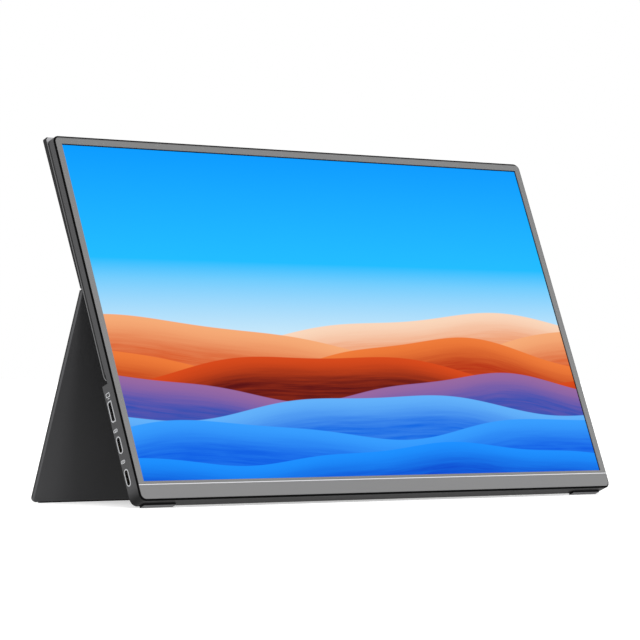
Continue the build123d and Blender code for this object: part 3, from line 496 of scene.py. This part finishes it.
def foot_rubber():
    """Matt black rubber, with painted light from below on the soles of the pads."""
    finish = Finish("foot_rubber")
    black = colours().rubber
    fine = finish.noise(finish.place(), 2600.0, detail=3.0, roughness=0.6)
    # painted light from below: the soles are paler
    sole_start = sizes().painted_lit_sole - 100 * MICRON
    sole = finish.remap(finish.height_up(), sole_start, sizes().painted_lit_sole, 1.0, 0.0, smooth=True)
    sides = finish.mix(fine, black, shaded(black, 1.3))
    finish.set("Base Color", finish.mix(sole, sides, colours().painted_lit_sole))
    finish.set("Roughness", finish.vary(fine, 0.7, 0.82))
    finish.set("Specular IOR Level", 0.12)
    finish.bump(fine, 30 * MICRON)
    return finish.material


def pan_coating():
    """Dark coating of the pan's edge between the wall and the silver sheet."""
    look = {"spread": 0.1, "roughness": 0.7, "grain": 3000.0, "depth": 10 * MICRON}
    return grained("pan_coating", colour(16, 16, 17), **look)


def plain_steel():
    """Pressed steel of sockets, screws and the plate behind the display."""
    look = {"roughness": 0.28, "stretch": (300.0, 300.0, 5000.0), "depth": 4 * MICRON}
    return brushed("plain_steel", colours().steel, **look)


def hinge_steel():
    """Black-nickelled steel of the friction hinges."""
    look = {"roughness": 0.34, "stretch": (5000.0, 300.0, 300.0), "depth": 4 * MICRON}
    return brushed("hinge_steel", colours().hinge, **look)


def pan_metal():
    """Mill-finished aluminium of the inner pans."""
    look = {"roughness": 0.38, "stretch": (60.0, 3000.0, 3000.0), "depth": 5 * MICRON}
    return brushed("pan_metal", colour(196, 197, 200), **look)


def socket_black():
    """Black moulded plastic inside the sockets and the jack."""
    look = {"spread": 0.15, "roughness": 0.45, "grain": 3000.0, "depth": 10 * MICRON}
    return grained("socket_black", colour(24, 24, 26), **look)


def contact_gold():
    """Gold-plated contacts."""
    look = {"roughness": 0.22, "stretch": (4000.0, 4000.0, 4000.0), "depth": MICRON}
    return brushed("contact_gold", colour(232, 190, 104), **look)


def sign_ink():
    """Pale grey printing ink."""
    look = {"spread": 0.06, "roughness": 0.5, "grain": 6000.0, "depth": 4 * MICRON}
    return grained("sign_ink", colour(188, 189, 191), **look)


def board_mask():
    """Green solder mask with faint tracks."""
    finish = Finish("board_mask")
    bricks = [("Vector", finish.place()), ("Scale", 260.0), ("Mortar Size", 0.03)]
    tracks = finish.node("ShaderNodeTexBrick", bricks, offset=0.35).outputs["Fac"]
    blotch = finish.noise(finish.place(), 90.0, detail=3.0)
    base = finish.mix(blotch, colour(10, 60, 44), colour(16, 82, 58))
    finish.set("Base Color", finish.mix(finish.math("MULTIPLY", tracks, 0.5), base, colour(60, 128, 92)))
    finish.set("Roughness", 0.4)
    finish.bump(tracks, 20 * MICRON)
    return finish.material


def chip_resin():
    """Black epoxy of the chips."""
    look = {"spread": 0.1, "roughness": 0.5, "grain": 4000.0, "depth": 10 * MICRON}
    return grained("chip_resin", colour(30, 30, 32), **look)


def white_film():
    """White and frosted sheets of the display module."""
    look = {"spread": 0.03, "roughness": 0.5, "grain": 900.0, "depth": 10 * MICRON}
    return grained("white_film", colour(228, 230, 230), **look)


def cable_film():
    """Pale polyester of the flat cables, with the conductors showing through."""
    finish = Finish("cable_film")
    bands = [("Vector", finish.place()), ("Scale", 600.0), ("Distortion", 0.2)]
    wave = finish.node("ShaderNodeTexWave", bands, bands_direction="X").outputs["Fac"]
    finish.set("Base Color", finish.mix(wave, colour(214, 212, 204), colour(168, 168, 166)))
    finish.set("Roughness", 0.4)
    finish.bump(wave, 20 * MICRON)
    return finish.material


def tape_black():
    """Black adhesive tape."""
    look = {"spread": 0.1, "roughness": 0.6, "grain": 1200.0, "depth": 20 * MICRON}
    return grained("tape_black", colour(36, 36, 37), **look)


def cone_paper():
    """Black pressed paper of the speaker diaphragms."""
    look = {"spread": 0.2, "roughness": 0.85, "grain": 1500.0, "depth": 40 * MICRON}
    return grained("cone_paper", colour(30, 30, 30), **look)


# The picture: a calm wallpaper of a blue gradient and flowing waves, all worked out in the shader

# as shares of the picture's height: where the haze and the deep sky lie, and how soft a wave's crest is
HAZE_HEIGHTS = (0.44, 0.66)
DEEP_SKY_HEIGHTS = (0.6, 1.0)
CREST_BLUR = 0.003


def wave_layers():
    """The waves from the farthest to the nearest: where each lies, how it swings, and its colours.

    A crest lies at height + swell sin(2 pi (slow x + start)) + ripple sin(2 pi (fast x + 2 start)),
    with x and height as shares of the picture's width and height.
    """
    return [
        {"height": 0.458, "swell": 0.050, "slow": 0.8, "ripple": 0.012, "fast": 2.3, "start": 0.62,
         "crest": colour(250, 214, 186), "deep": colour(236, 150, 104), "fade": 0.10},
        {"height": 0.425, "swell": 0.060, "slow": 0.9, "ripple": 0.014, "fast": 2.1, "start": 0.18,
         "crest": colour(246, 170, 118), "deep": colour(214, 88, 40), "fade": 0.12},
        {"height": 0.375, "swell": 0.055, "slow": 1.1, "ripple": 0.010, "fast": 2.9, "start": 0.47,
         "crest": colour(238, 122, 58), "deep": colour(176, 42, 14), "fade": 0.10},
        {"height": 0.330, "swell": 0.045, "slow": 0.9, "ripple": 0.012, "fast": 2.4, "start": 0.86,
         "crest": colour(214, 74, 28), "deep": colour(88, 16, 20), "fade": 0.09},
        {"height": 0.275, "swell": 0.040, "slow": 1.2, "ripple": 0.008, "fast": 3.1, "start": 0.30,
         "crest": colour(150, 104, 160), "deep": colour(46, 78, 176), "fade": 0.09},
        {"height": 0.215, "swell": 0.035, "slow": 1.0, "ripple": 0.009, "fast": 2.6, "start": 0.70,
         "crest": colour(98, 176, 250), "deep": colour(18, 104, 226), "fade": 0.10},
        {"height": 0.145, "swell": 0.030, "slow": 1.3, "ripple": 0.007, "fast": 2.8, "start": 0.05,
         "crest": colour(56, 156, 255), "deep": colour(6, 92, 226), "fade": 0.10},
        {"height": 0.070, "swell": 0.025, "slow": 1.1, "ripple": 0.006, "fast": 3.3, "start": 0.52,
         "crest": colour(30, 142, 255), "deep": colour(4, 74, 206), "fade": 0.09},
    ]


def screen_shares(finish):
    """The point on the screen as shares of the picture's width and height, from its lower left corner."""
    share_x = finish.along(screen_origin(), ACROSS / sizes().picture_width)
    share_up = finish.along(screen_origin(), screen_up() / sizes().picture_height)
    return finish.math("ADD", share_x, 0.5), share_up


def swing(finish, share, turns, start, reach):
    """A sine along the picture's width, between minus and plus its reach."""
    turned = finish.math("ADD", finish.math("MULTIPLY", share, turns), start)
    sine = finish.math("SINE", finish.math("MULTIPLY", turned, math.tau))
    return finish.math("MULTIPLY", sine, reach)


def silk(finish, share_x, below):
    """How far a wave's crest colour shows again below the crest, in streaks drawn out along the wave."""
    along = finish.math("MULTIPLY", share_x, 7.0)
    across = finish.math("MULTIPLY", below, 90.0)
    streaks = finish.node("ShaderNodeCombineXYZ", [("X", along), ("Y", across)]).outputs["Vector"]
    return finish.remap(finish.noise(streaks, 1.0, detail=4.0, roughness=0.6), 0.35, 0.7, 0.0, 0.3)


def wave(finish, layer, share_x, share_up, behind):
    """The picture's colour with one more wave in front of what is behind it."""
    swell = swing(finish, share_x, layer["slow"], layer["start"], layer["swell"])
    ripple = swing(finish, share_x, layer["fast"], 2 * layer["start"], layer["ripple"])
    crest = finish.math("ADD", finish.math("ADD", swell, layer["height"]), ripple)
    below = finish.math("SUBTRACT", crest, share_up)
    inside = finish.remap(below, 0.0, CREST_BLUR, 0.0, 1.0, smooth=True)
    depth = finish.remap(below, 0.0, layer["fade"], 0.0, 1.0, smooth=True)
    tone = finish.mix(depth, layer["crest"], layer["deep"])
    tone = finish.mix(silk(finish, share_x, below), tone, layer["crest"])
    return finish.mix(inside, behind, tone)


def picture_colour(finish, share_x, share_up):
    """The wallpaper's colour at a place on the screen: a sky from haze to deep blue, and the waves."""
    haze = finish.remap(share_up, *HAZE_HEIGHTS, 0.0, 1.0)
    high = finish.remap(share_up, *DEEP_SKY_HEIGHTS, 0.0, 1.0)
    picture = finish.mix(haze, colour(196, 230, 250), colour(38, 192, 255))
    picture = finish.mix(high, picture, colour(0, 154, 255))
    for layer in wave_layers():
        picture = wave(finish, layer, share_x, share_up, picture)
    return picture


def lit_screen():
    """The display's face: the lit picture inside its border, black outside, under a matt polariser."""
    finish = Finish("lit_screen")
    share_x, share_up = screen_shares(finish)
    picture = picture_colour(finish, share_x, share_up)
    from_middle = finish.math("ABSOLUTE", finish.math("SUBTRACT", share_x, 0.5))
    inside = finish.math("LESS_THAN", from_middle, 0.5 - sizes().mask_side / sizes().picture_width)
    under_top = finish.math("LESS_THAN", share_up, 1.0 - sizes().mask_top / sizes().picture_height)
    over_bottom = finish.math("GREATER_THAN", share_up, 0.0)
    lit = finish.math("MULTIPLY", inside, finish.math("MULTIPLY", under_top, over_bottom))
    grain = finish.noise(finish.place(), 5200.0)
    finish.set("Base Color", (*colour(5, 5, 6), 1))
    finish.set("Roughness", finish.vary(grain, 0.4, 0.5))
    finish.set("Specular IOR Level", 0.02)
    finish.set("Emission Color", finish.mix(lit, (0, 0, 0), picture))
    finish.set("Emission Strength", 1.0)
    finish.bump(grain, 3 * MICRON)
    return finish.material


def dress(material, *nodes):
    """Gives CAD nodes their finish."""
    for node in nodes:
        mesh = frame["nodes"][node].data
        mesh.materials.clear()
        mesh.materials.append(material)


# New pieces


def mesh_object(name, points, faces, material):
    """An object with a mesh of points in metres and faces, in one material."""
    mesh = bpy.data.meshes.new(name)
    mesh.from_pydata(np.asarray(points, float).tolist(), [], faces)
    mesh.validate()
    mesh.update()
    mesh.materials.append(material)
    made = bpy.data.objects.new(name, mesh)
    bpy.context.scene.collection.objects.link(made)
    return made


def new_piece(name, points, faces, material, body="monitor"):
    """A piece of the object, riding on a body."""
    piece = mesh_object(name, points, faces, material)
    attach(piece, body)


def prism_faces(count):
    """Faces of a closed prism: its lower ring of count points comes first, and its upper ring follows."""
    steps = np.arange(count)
    following = (steps + 1) % count
    sides = np.column_stack([steps, following, following + count, steps + count])
    return [*sides.tolist(), steps[::-1].tolist(), (steps + count).tolist()]


def ring_faces(count):
    """Faces of a flat closed band of four rings: outer low, outer high, inner high and inner low."""
    steps = np.arange(count)
    following = (steps + 1) % count
    faces = []
    for ring in range(4):
        here = ring * count
        there = (ring + 1) % 4 * count
        band = [here + steps, here + following, there + following, there + steps]
        faces += np.column_stack(band).tolist()
    return faces


def disc_faces(rings, spokes):
    """Faces of a disc of rings round a middle point: its triangles, and its quads between the rings."""
    steps = np.arange(spokes)
    following = (steps + 1) % spokes
    triangles = np.column_stack([np.zeros(spokes, int), 1 + steps, 1 + following])
    near = 1 + spokes * np.arange(rings - 1)[:, None]
    far = near + spokes
    quads = np.stack([near + steps, far + steps, far + following, near + following], axis=-1)
    return triangles, quads.reshape(-1, 4)


def disc_points(reach, rise, top, spokes):
    """A middle point at the height top, and rings of points round it, each with its own reach and rise."""
    turn = np.linspace(0, math.tau, spokes, endpoint=False)
    level = np.outer(rise, np.ones(spokes))
    rings = np.stack([np.outer(reach, np.cos(turn)), np.outer(reach, np.sin(turn)), level], axis=-1)
    return np.concatenate([[(0.0, 0.0, top)], rings.reshape(-1, 3)])


def repeat_faces(faces, count, size):
    """The faces of many like shapes, each of them made of the next size points."""
    starts = size * np.arange(count)[:, None, None]
    return (starts + faces).reshape(-1, faces.shape[1]).tolist()


def wall_rings(flat, x, distance):
    """Points (height, depth) as two rings, one on a wall at x and one a distance off it.

    They run the other way round where the distance is positive, so that the faces look out either way.
    """
    flat = np.asarray(flat, float)
    if distance > 0:
        flat = flat[::-1]
    return [np.column_stack([np.full(len(flat), place), flat]) for place in (x, x + distance)]


def outline_sign(name, outer, inner, material, x, distance, body="monitor"):
    """A printed sign made of one closed line, between an outer and an inner ring of (height, depth)."""
    outer_low, outer_high = wall_rings(outer, x, distance)
    inner_low, inner_high = wall_rings(inner, x, distance)
    points = on_screen(np.concatenate([outer_low, outer_high, inner_high, inner_low]))
    new_piece(name, points, ring_faces(len(outer)), material, body)


def filled_sign(name, outline, material, x, distance, body="monitor"):
    """A printed sign filled to its outline of (height, depth)."""
    points = on_screen(np.concatenate(wall_rings(outline, x, distance)))
    new_piece(name, points, prism_faces(len(outline)), material, body)


def rounded_rectangle(centre, tall, wide, radius, steps=6):
    """A rounded rectangle of (height, depth) points: four quarter circles round their corners."""
    points = []
    for quarter, signs in enumerate(((1, 1), (-1, 1), (-1, -1), (1, -1))):
        corner = np.array(centre) + np.array(signs) * (tall / 2 - radius, wide / 2 - radius)
        turn = np.linspace(0, math.pi / 2, steps) + quarter * math.pi / 2
        points.append(corner + radius * np.column_stack([np.cos(turn), np.sin(turn)]))
    return np.concatenate(points)


def rounded_frame(centre, tall, wide, stroke, outer_radius, inner_radius):
    """The outer and the inner ring of a rounded rectangle drawn as a line of one stroke."""
    outer = rounded_rectangle(centre, tall, wide, outer_radius)
    return outer, rounded_rectangle(centre, tall - 2 * stroke, wide - 2 * stroke, inner_radius)


def cross_outline(centre, reach, stroke):
    """A plus sign: twelve corners round two crossed bars."""
    near = stroke / 2
    corners = [
        (near, near), (near, reach), (-near, reach), (-near, near), (-reach, near), (-reach, -near),
        (-near, -near), (-near, -reach), (near, -reach), (near, -near), (reach, -near), (reach, near),
    ]
    return np.asarray(centre) + np.array(corners)


def arc_outline(centre, radius, stroke, gap, steps=28):
    """A ring with a gap at its top: out along one arc and back along another of a smaller radius."""
    angles = np.linspace(gap / 2, math.tau - gap / 2, steps)
    turns = np.concatenate([angles, angles[::-1]])
    reach = np.repeat([radius + stroke / 2, radius - stroke / 2], steps)
    return np.asarray(centre) + np.column_stack([reach * np.cos(turns), reach * np.sin(turns)])


def blocks(centres, size):
    """Blocks of one size round many centres: each corner is the centre plus or minus half the size.

    The faces are wound for the left-handed directions that on_screen takes.
    """
    half = [-0.5, 0.5]
    signs = np.array(np.meshgrid(half, half, half, indexing="ij")).reshape(3, -1).T
    points = (np.asarray(centres)[:, None, :] + signs * size).reshape(-1, 3)
    sides = np.array([[2, 3, 1, 0], [5, 7, 6, 4], [1, 5, 4, 0], [6, 7, 3, 2], [4, 6, 2, 0], [3, 7, 5, 1]])
    return points, repeat_faces(sides, len(centres), len(signs))


def domes(centres, radius, height, rings=5, spokes=20):
    """Rivet heads round many centres: height cos(t) over radius sin(t), with t from 0 to a right angle.

    The faces are wound for the left-handed directions that on_leg takes.
    """
    t = np.linspace(0, math.pi / 2, rings + 1)[1:]
    dome = disc_points(radius * np.sin(t), height * np.cos(t), height, spokes)
    triangles, quads = disc_faces(rings, spokes)
    base = np.arange(len(dome) - spokes, len(dome))[None, :]
    faces = []
    for group in (triangles[:, ::-1], quads[:, ::-1], base):
        faces += repeat_faces(group, len(centres), len(dome))
    return (np.asarray(centres)[:, None, :] + dome).reshape(-1, 3), faces


# Operators, one for each group of like pieces


class MONITOR_OT_front(Operator):
    """Finish the bezel, the chin, the bright line, the dark seam and the rubber feet"""

    bl_idname = "monitor.front"
    bl_label = "Front"

    def execute(self, context):
        dress(bezel_paint(), "front_bezel", "chin_bar")
        dress(polished_edge(), "chin_trim")
        dress(seam_black(), "front_gasket")
        dress(foot_rubber(), "front_pad_left", "front_pad_right", "foot_strip")
        return {"FINISHED"}


class MONITOR_OT_screen(Operator):
    """Light the display with its wallpaper"""

    bl_idname = "monitor.screen"
    bl_label = "Screen"

    def execute(self, context):
        dress(lit_screen(), "lcd_cell")
        return {"FINISHED"}


class MONITOR_OT_casing(Operator):
    """Finish the walls, the silver sheet, the pans, the lower back cover and the keys"""

    bl_idname = "monitor.casing"
    bl_label = "Casing"

    def execute(self, context):
        dress(wall_anodised(), "housing_frame")
        dress(sheet_silver(), "rear_cover")
        dress(pan_coating(), "back_pan")
        dress(pan_metal(), "panel_tray", "shield_can")
        dress(cover_plastic(), "lower_back_cover", "key_power", "key_plus", "key_minus")
        return {"FINISHED"}


class MONITOR_OT_stand(Operator):
    """Finish the back plate, the kickstand and its hinges"""

    bl_idname = "monitor.stand"
    bl_label = "Stand"

    def execute(self, context):
        # the leg gets painted light towards its lower corners
        leg = stand_coating("leg_coating", colours().stand, bevel=sizes().leg_bevel, worn=0.4)
        dress(leg, "kickstand_leg")
        dress(stand_coating("plate_coating", colours().plate), "back_plate")
        steel = hinge_steel()
        for side in ("left", "right"):
            dress(steel, f"hinge_{side}_fixed_leaf", f"hinge_{side}_moving_leaf", f"hinge_{side}_pin")
        return {"FINISHED"}


class MONITOR_OT_sockets(Operator):
    """Finish the sockets and the headphone jack"""

    bl_idname = "monitor.sockets"
    bl_label = "Sockets"

    def execute(self, context):
        steel = plain_steel()
        black = socket_black()
        for name in ("mini_hdmi", "usb_c_upper", "usb_c_lower"):
            dress(steel, f"{name}_shell")
            dress(black, f"{name}_insulator")
        dress(black, "headphone_jack")
        return {"FINISHED"}


class MONITOR_OT_signs(Operator):
    """Print a small plain sign above each socket"""

    bl_idname = "monitor.signs"
    bl_label = "Signs"

    def execute(self, context):
        ink = sign_ink()
        unit = sizes().sign_height
        stroke = sizes().sign_stroke
        wall = (sizes().wall_x, -sizes().sign_proud)
        # a small screen on its foot above the wide socket
        centre = np.array(sizes().screen_sign)
        radii = {"outer_radius": 0.2 * unit, "inner_radius": 0.1 * unit}
        rings = rounded_frame(centre, tall=unit, wide=1.4 * unit, stroke=stroke, **radii)
        outline_sign("sign_screen", *rings, ink, *wall)
        foot_centre = centre - (0.85 * unit, 0)
        foot = rounded_rectangle(foot_centre, tall=stroke, wide=0.7 * unit, radius=0.4 * stroke)
        filled_sign("sign_screen_foot", foot, ink, *wall)
        # a small flat socket above each of the narrow ones
        radii = {"outer_radius": 0.36 * unit, "inner_radius": 0.2 * unit}
        for name, spot in (("upper", sizes().upper_sign), ("lower", sizes().lower_sign)):
            rings = rounded_frame(spot, tall=0.75 * unit, wide=1.5 * unit, stroke=stroke, **radii)
            outline_sign(f"sign_plug_{name}", *rings, ink, *wall)
            bar = rounded_rectangle(spot, tall=0.8 * stroke, wide=0.8 * unit, radius=0.3 * stroke)
            filled_sign(f"sign_plug_bar_{name}", bar, ink, *wall)
        return {"FINISHED"}


class MONITOR_OT_key_marks(Operator):
    """Print a power sign, a plus and a minus on the three keys"""

    bl_idname = "monitor.key_marks"
    bl_label = "Key marks"

    def execute(self, context):
        unit = 0.55 * sizes().sign_height
        stroke = 0.7 * sizes().sign_stroke
        power, plus, minus = (key_centre(f"key_{key}") for key in ("power", "plus", "minus"))
        line_centre = power + (0.35 * unit, 0)
        marks = (
            ("mark_power_ring", "power", arc_outline(power, 0.42 * unit, stroke, gap=math.radians(70))),
            ("mark_power_line", "power", rounded_rectangle(line_centre, 0.5 * unit, stroke, 0.4 * stroke)),
            ("mark_plus", "plus", cross_outline(plus, 0.45 * unit, stroke)),
            ("mark_minus", "minus", rounded_rectangle(minus, stroke, 0.9 * unit, 0.4 * stroke)),
        )
        ink = bpy.data.materials["sign_ink"]
        face = (sizes().key_face_x, sizes().sign_proud)
        for name, key, outline in marks:
            filled_sign(name, outline, ink, *face, body=f"key_{key}_body")
        return {"FINISHED"}


def node_middle(node):
    """The middle of a CAD node's box."""
    low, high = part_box(node)
    return (Vector(low) + Vector(high)) / 2


def key_centre(node):
    """Height up the screen and depth of the middle of a key."""
    offset = node_middle(node) - screen_origin()
    return np.array((offset.dot(screen_up()), offset.dot(screen_inward())))


# length of the contacts, as a share of the length of the tongue with its block
CONTACT_SHARE = 0.6


def lay_contacts(node, count, pitch, half_tongue, gold):
    """Contacts on both faces of a socket's tongue: equal boxes a pitch apart, half sunk in the tongue."""
    low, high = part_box(node)
    long = CONTACT_SHARE * (high[0] - low[0])
    x = low[0] + sizes().contact_setback + long / 2
    middle = (node_middle(node) - screen_origin()).dot(screen_up())
    ups = middle + pitch * (np.arange(count) - (count - 1) / 2)
    depths = (sizes().socket_depth - half_tongue, sizes().socket_depth + half_tongue)
    centres = [(x, up, depth) for depth in depths for up in ups]
    points, faces = blocks(centres, (long, sizes().contact_width, 2 * sizes().contact_proud))
    new_piece(f"{node}_contacts", on_screen(points), faces, gold)


class MONITOR_OT_contacts(Operator):
    """Lay the gold contacts on the tongues of the sockets"""

    bl_idname = "monitor.contacts"
    bl_label = "Contacts"

    def execute(self, context):
        gold = contact_gold()
        lay_contacts("mini_hdmi_insulator", count=10, pitch=0.0007, half_tongue=0.0003, gold=gold)
        for node in ("usb_c_upper_insulator", "usb_c_lower_insulator"):
            lay_contacts(node, count=12, pitch=0.0005, half_tongue=0.00035, gold=gold)
        return {"FINISHED"}


class MONITOR_OT_rivets(Operator):
    """Set three flat rivet heads in the moving leaf of each hinge"""

    bl_idname = "monitor.rivets"
    bl_label = "Rivets"

    def execute(self, context):
        steel = bpy.data.materials["hinge_steel"]
        for name, x in (("left", -sizes().hinge_x), ("right", sizes().hinge_x)):
            centres = [(x + step * sizes().rivet_pitch, sizes().rivet_down, 0.0) for step in (-1, 0, 1)]
            points, faces = domes(centres, sizes().rivet_radius, sizes().rivet_height)
            new_piece(f"hinge_{name}_rivets", on_leg(points), faces, steel, body="kickstand")
        return {"FINISHED"}


class MONITOR_OT_inside(Operator):
    """Finish the display module's layers, the boards, the cables and the speakers"""

    bl_idname = "monitor.inside"
    bl_label = "Inside"

    def execute(self, context):
        dress(white_film(), "optical_films", "light_guide", "reflector_sheet", "lamp_bar", "moulded_frame")
        dress(tape_black(), "bezel_tape", "panel_tapes", "plate_adhesive")
        dress(board_mask(), "main_board", "key_board", "panel_driver_board")
        dress(chip_resin(), "board_chips", "key_switches")
        dress(cable_film(), "display_cable", "key_cable", "speaker_left_cable", "speaker_right_cable")
        dress(bpy.data.materials["socket_black"], "speaker_left", "speaker_right")
        dress(cone_paper(), "speaker_left_cone", "speaker_right_cone")
        dress(bpy.data.materials["plain_steel"], "mid_plate", "board_screws")
        return {"FINISHED"}


def floor_surface(rings=24, spokes=64):
    """The studio floor: rings round its middle point, the radius growing as the square of the step."""
    radius = sizes().floor_radius * np.linspace(0, 1, rings + 1)[1:] ** 2
    triangles, quads = disc_faces(rings, spokes)
    return disc_points(radius, np.zeros(rings), 0.0, spokes), triangles.tolist() + quads.tolist()


def floor_paper():
    """White studio paper over a light table, which softens the shadow as in the photograph."""
    finish = Finish("floor_paper")
    base = colours().floor
    fibre = finish.noise(finish.place(), 900.0, detail=3.0)
    finish.set("Base Color", finish.mix(fibre, shaded(base, 0.995), base))
    finish.set("Roughness", 0.9)
    finish.set("Specular IOR Level", 0.1)
    finish.set("Emission Color", (1, 1, 1, 1))
    finish.set("Emission Strength", 0.5)
    finish.bump(fibre, 5 * MICRON)
    return finish.material


def soft_light(name, place, target, side, power):
    """A square soft light at one place, facing another."""
    data = bpy.data.lights.new(name, "AREA")
    data.shape = "RECTANGLE"
    data.size = side
    data.size_y = side
    data.energy = power
    light = bpy.data.objects.new(name, data)
    light.location = place
    light.rotation_euler = (Vector(target) - Vector(place)).to_track_quat("-Z", "Y").to_euler()
    bpy.context.scene.collection.objects.link(light)


def white_world():
    """An even white light from all sides."""
    world = bpy.data.worlds.new("studio_white")
    world.use_nodes = True
    background = world.node_tree.nodes["Background"]
    background.inputs["Color"].default_value = (1, 1, 1, 1)
    background.inputs["Strength"].default_value = 1.0
    bpy.context.scene.world = world


def photo_camera():
    """The camera at the photograph's place, angle and lens."""
    settings = bpy.context.scene.monitor_camera
    camera = bpy.data.objects.new("photo_camera", bpy.data.cameras.new("photo_camera"))
    camera.location = settings.place
    camera.rotation_euler = Euler(settings.turn, "XYZ")
    camera.data.sensor_width = 36.0
    camera.data.lens = settings.lens
    camera.data.shift_x, camera.data.shift_y = settings.shift
    camera.data.clip_start = 0.01
    camera.data.clip_end = 100.0
    bpy.context.scene.collection.objects.link(camera)
    bpy.context.scene.camera = camera


class MONITOR_OT_studio(Operator):
    """Set up the floor, the soft lights and the camera"""

    bl_idname = "monitor.studio"
    bl_label = "Studio"

    def execute(self, context):
        floor = mesh_object("studio_floor", *floor_surface(), floor_paper())
        white_world()
        middle = (0, 0, 0.1)
        soft_light("key_light", place=(-1.6, -1.8, 2.0), target=middle, side=1.6, power=18.0)
        soft_light("fill_light", place=(2.0, -1.4, 1.4), target=middle, side=1.6, power=5.0)
        soft_light("low_light", place=(-0.8, -2.5, 0.35), target=(0, 0.05, 0.1), side=0.5, power=22.0)
        photo_camera()
        context.scene.view_settings.view_transform = "Standard"
        return {"FINISHED"}


class MONITOR_PT_panel(Panel):
    """Lists the monitor's operators in the sidebar"""

    bl_idname = "MONITOR_PT_panel"
    bl_label = "Portable Monitor"
    bl_space_type = "VIEW_3D"
    bl_region_type = "UI"
    bl_category = "Monitor"

    def draw(self, context):
        for operator in OPERATORS:
            self.layout.operator(operator.bl_idname)
        for settings in (context.scene.monitor_sizes, context.scene.monitor_colours):
            for name in settings.bl_rna.properties.keys():
                if name not in ("rna_type", "name"):
                    self.layout.prop(settings, name)


OPERATORS = (
    MONITOR_OT_front,
    MONITOR_OT_screen,
    MONITOR_OT_casing,
    MONITOR_OT_stand,
    MONITOR_OT_sockets,
    MONITOR_OT_signs,
    MONITOR_OT_key_marks,
    MONITOR_OT_contacts,
    MONITOR_OT_rivets,
    MONITOR_OT_inside,
    MONITOR_OT_studio,
)
CLASSES = (MonitorSizes, MonitorColours, MonitorCamera, *OPERATORS, MONITOR_PT_panel)


def register():
    """Registers the classes and adds their settings to the scene."""
    for made in CLASSES:
        bpy.utils.register_class(made)
    bpy.types.Scene.monitor_sizes = PointerProperty(type=MonitorSizes)
    bpy.types.Scene.monitor_colours = PointerProperty(type=MonitorColours)
    bpy.types.Scene.monitor_camera = PointerProperty(type=MonitorCamera)


def unregister():
    """Removes the settings and the classes."""
    del bpy.types.Scene.monitor_camera
    del bpy.types.Scene.monitor_colours
    del bpy.types.Scene.monitor_sizes
    for made in reversed(CLASSES):
        bpy.utils.unregister_class(made)


def main():
    """Dresses the whole monitor."""
    register()
    bpy.ops.monitor.front()
    bpy.ops.monitor.screen()
    bpy.ops.monitor.casing()
    bpy.ops.monitor.stand()
    bpy.ops.monitor.sockets()
    bpy.ops.monitor.signs()
    bpy.ops.monitor.key_marks()
    bpy.ops.monitor.contacts()
    bpy.ops.monitor.rivets()
    bpy.ops.monitor.inside()
    bpy.ops.monitor.studio()


if __name__ == "__main__":
    main()
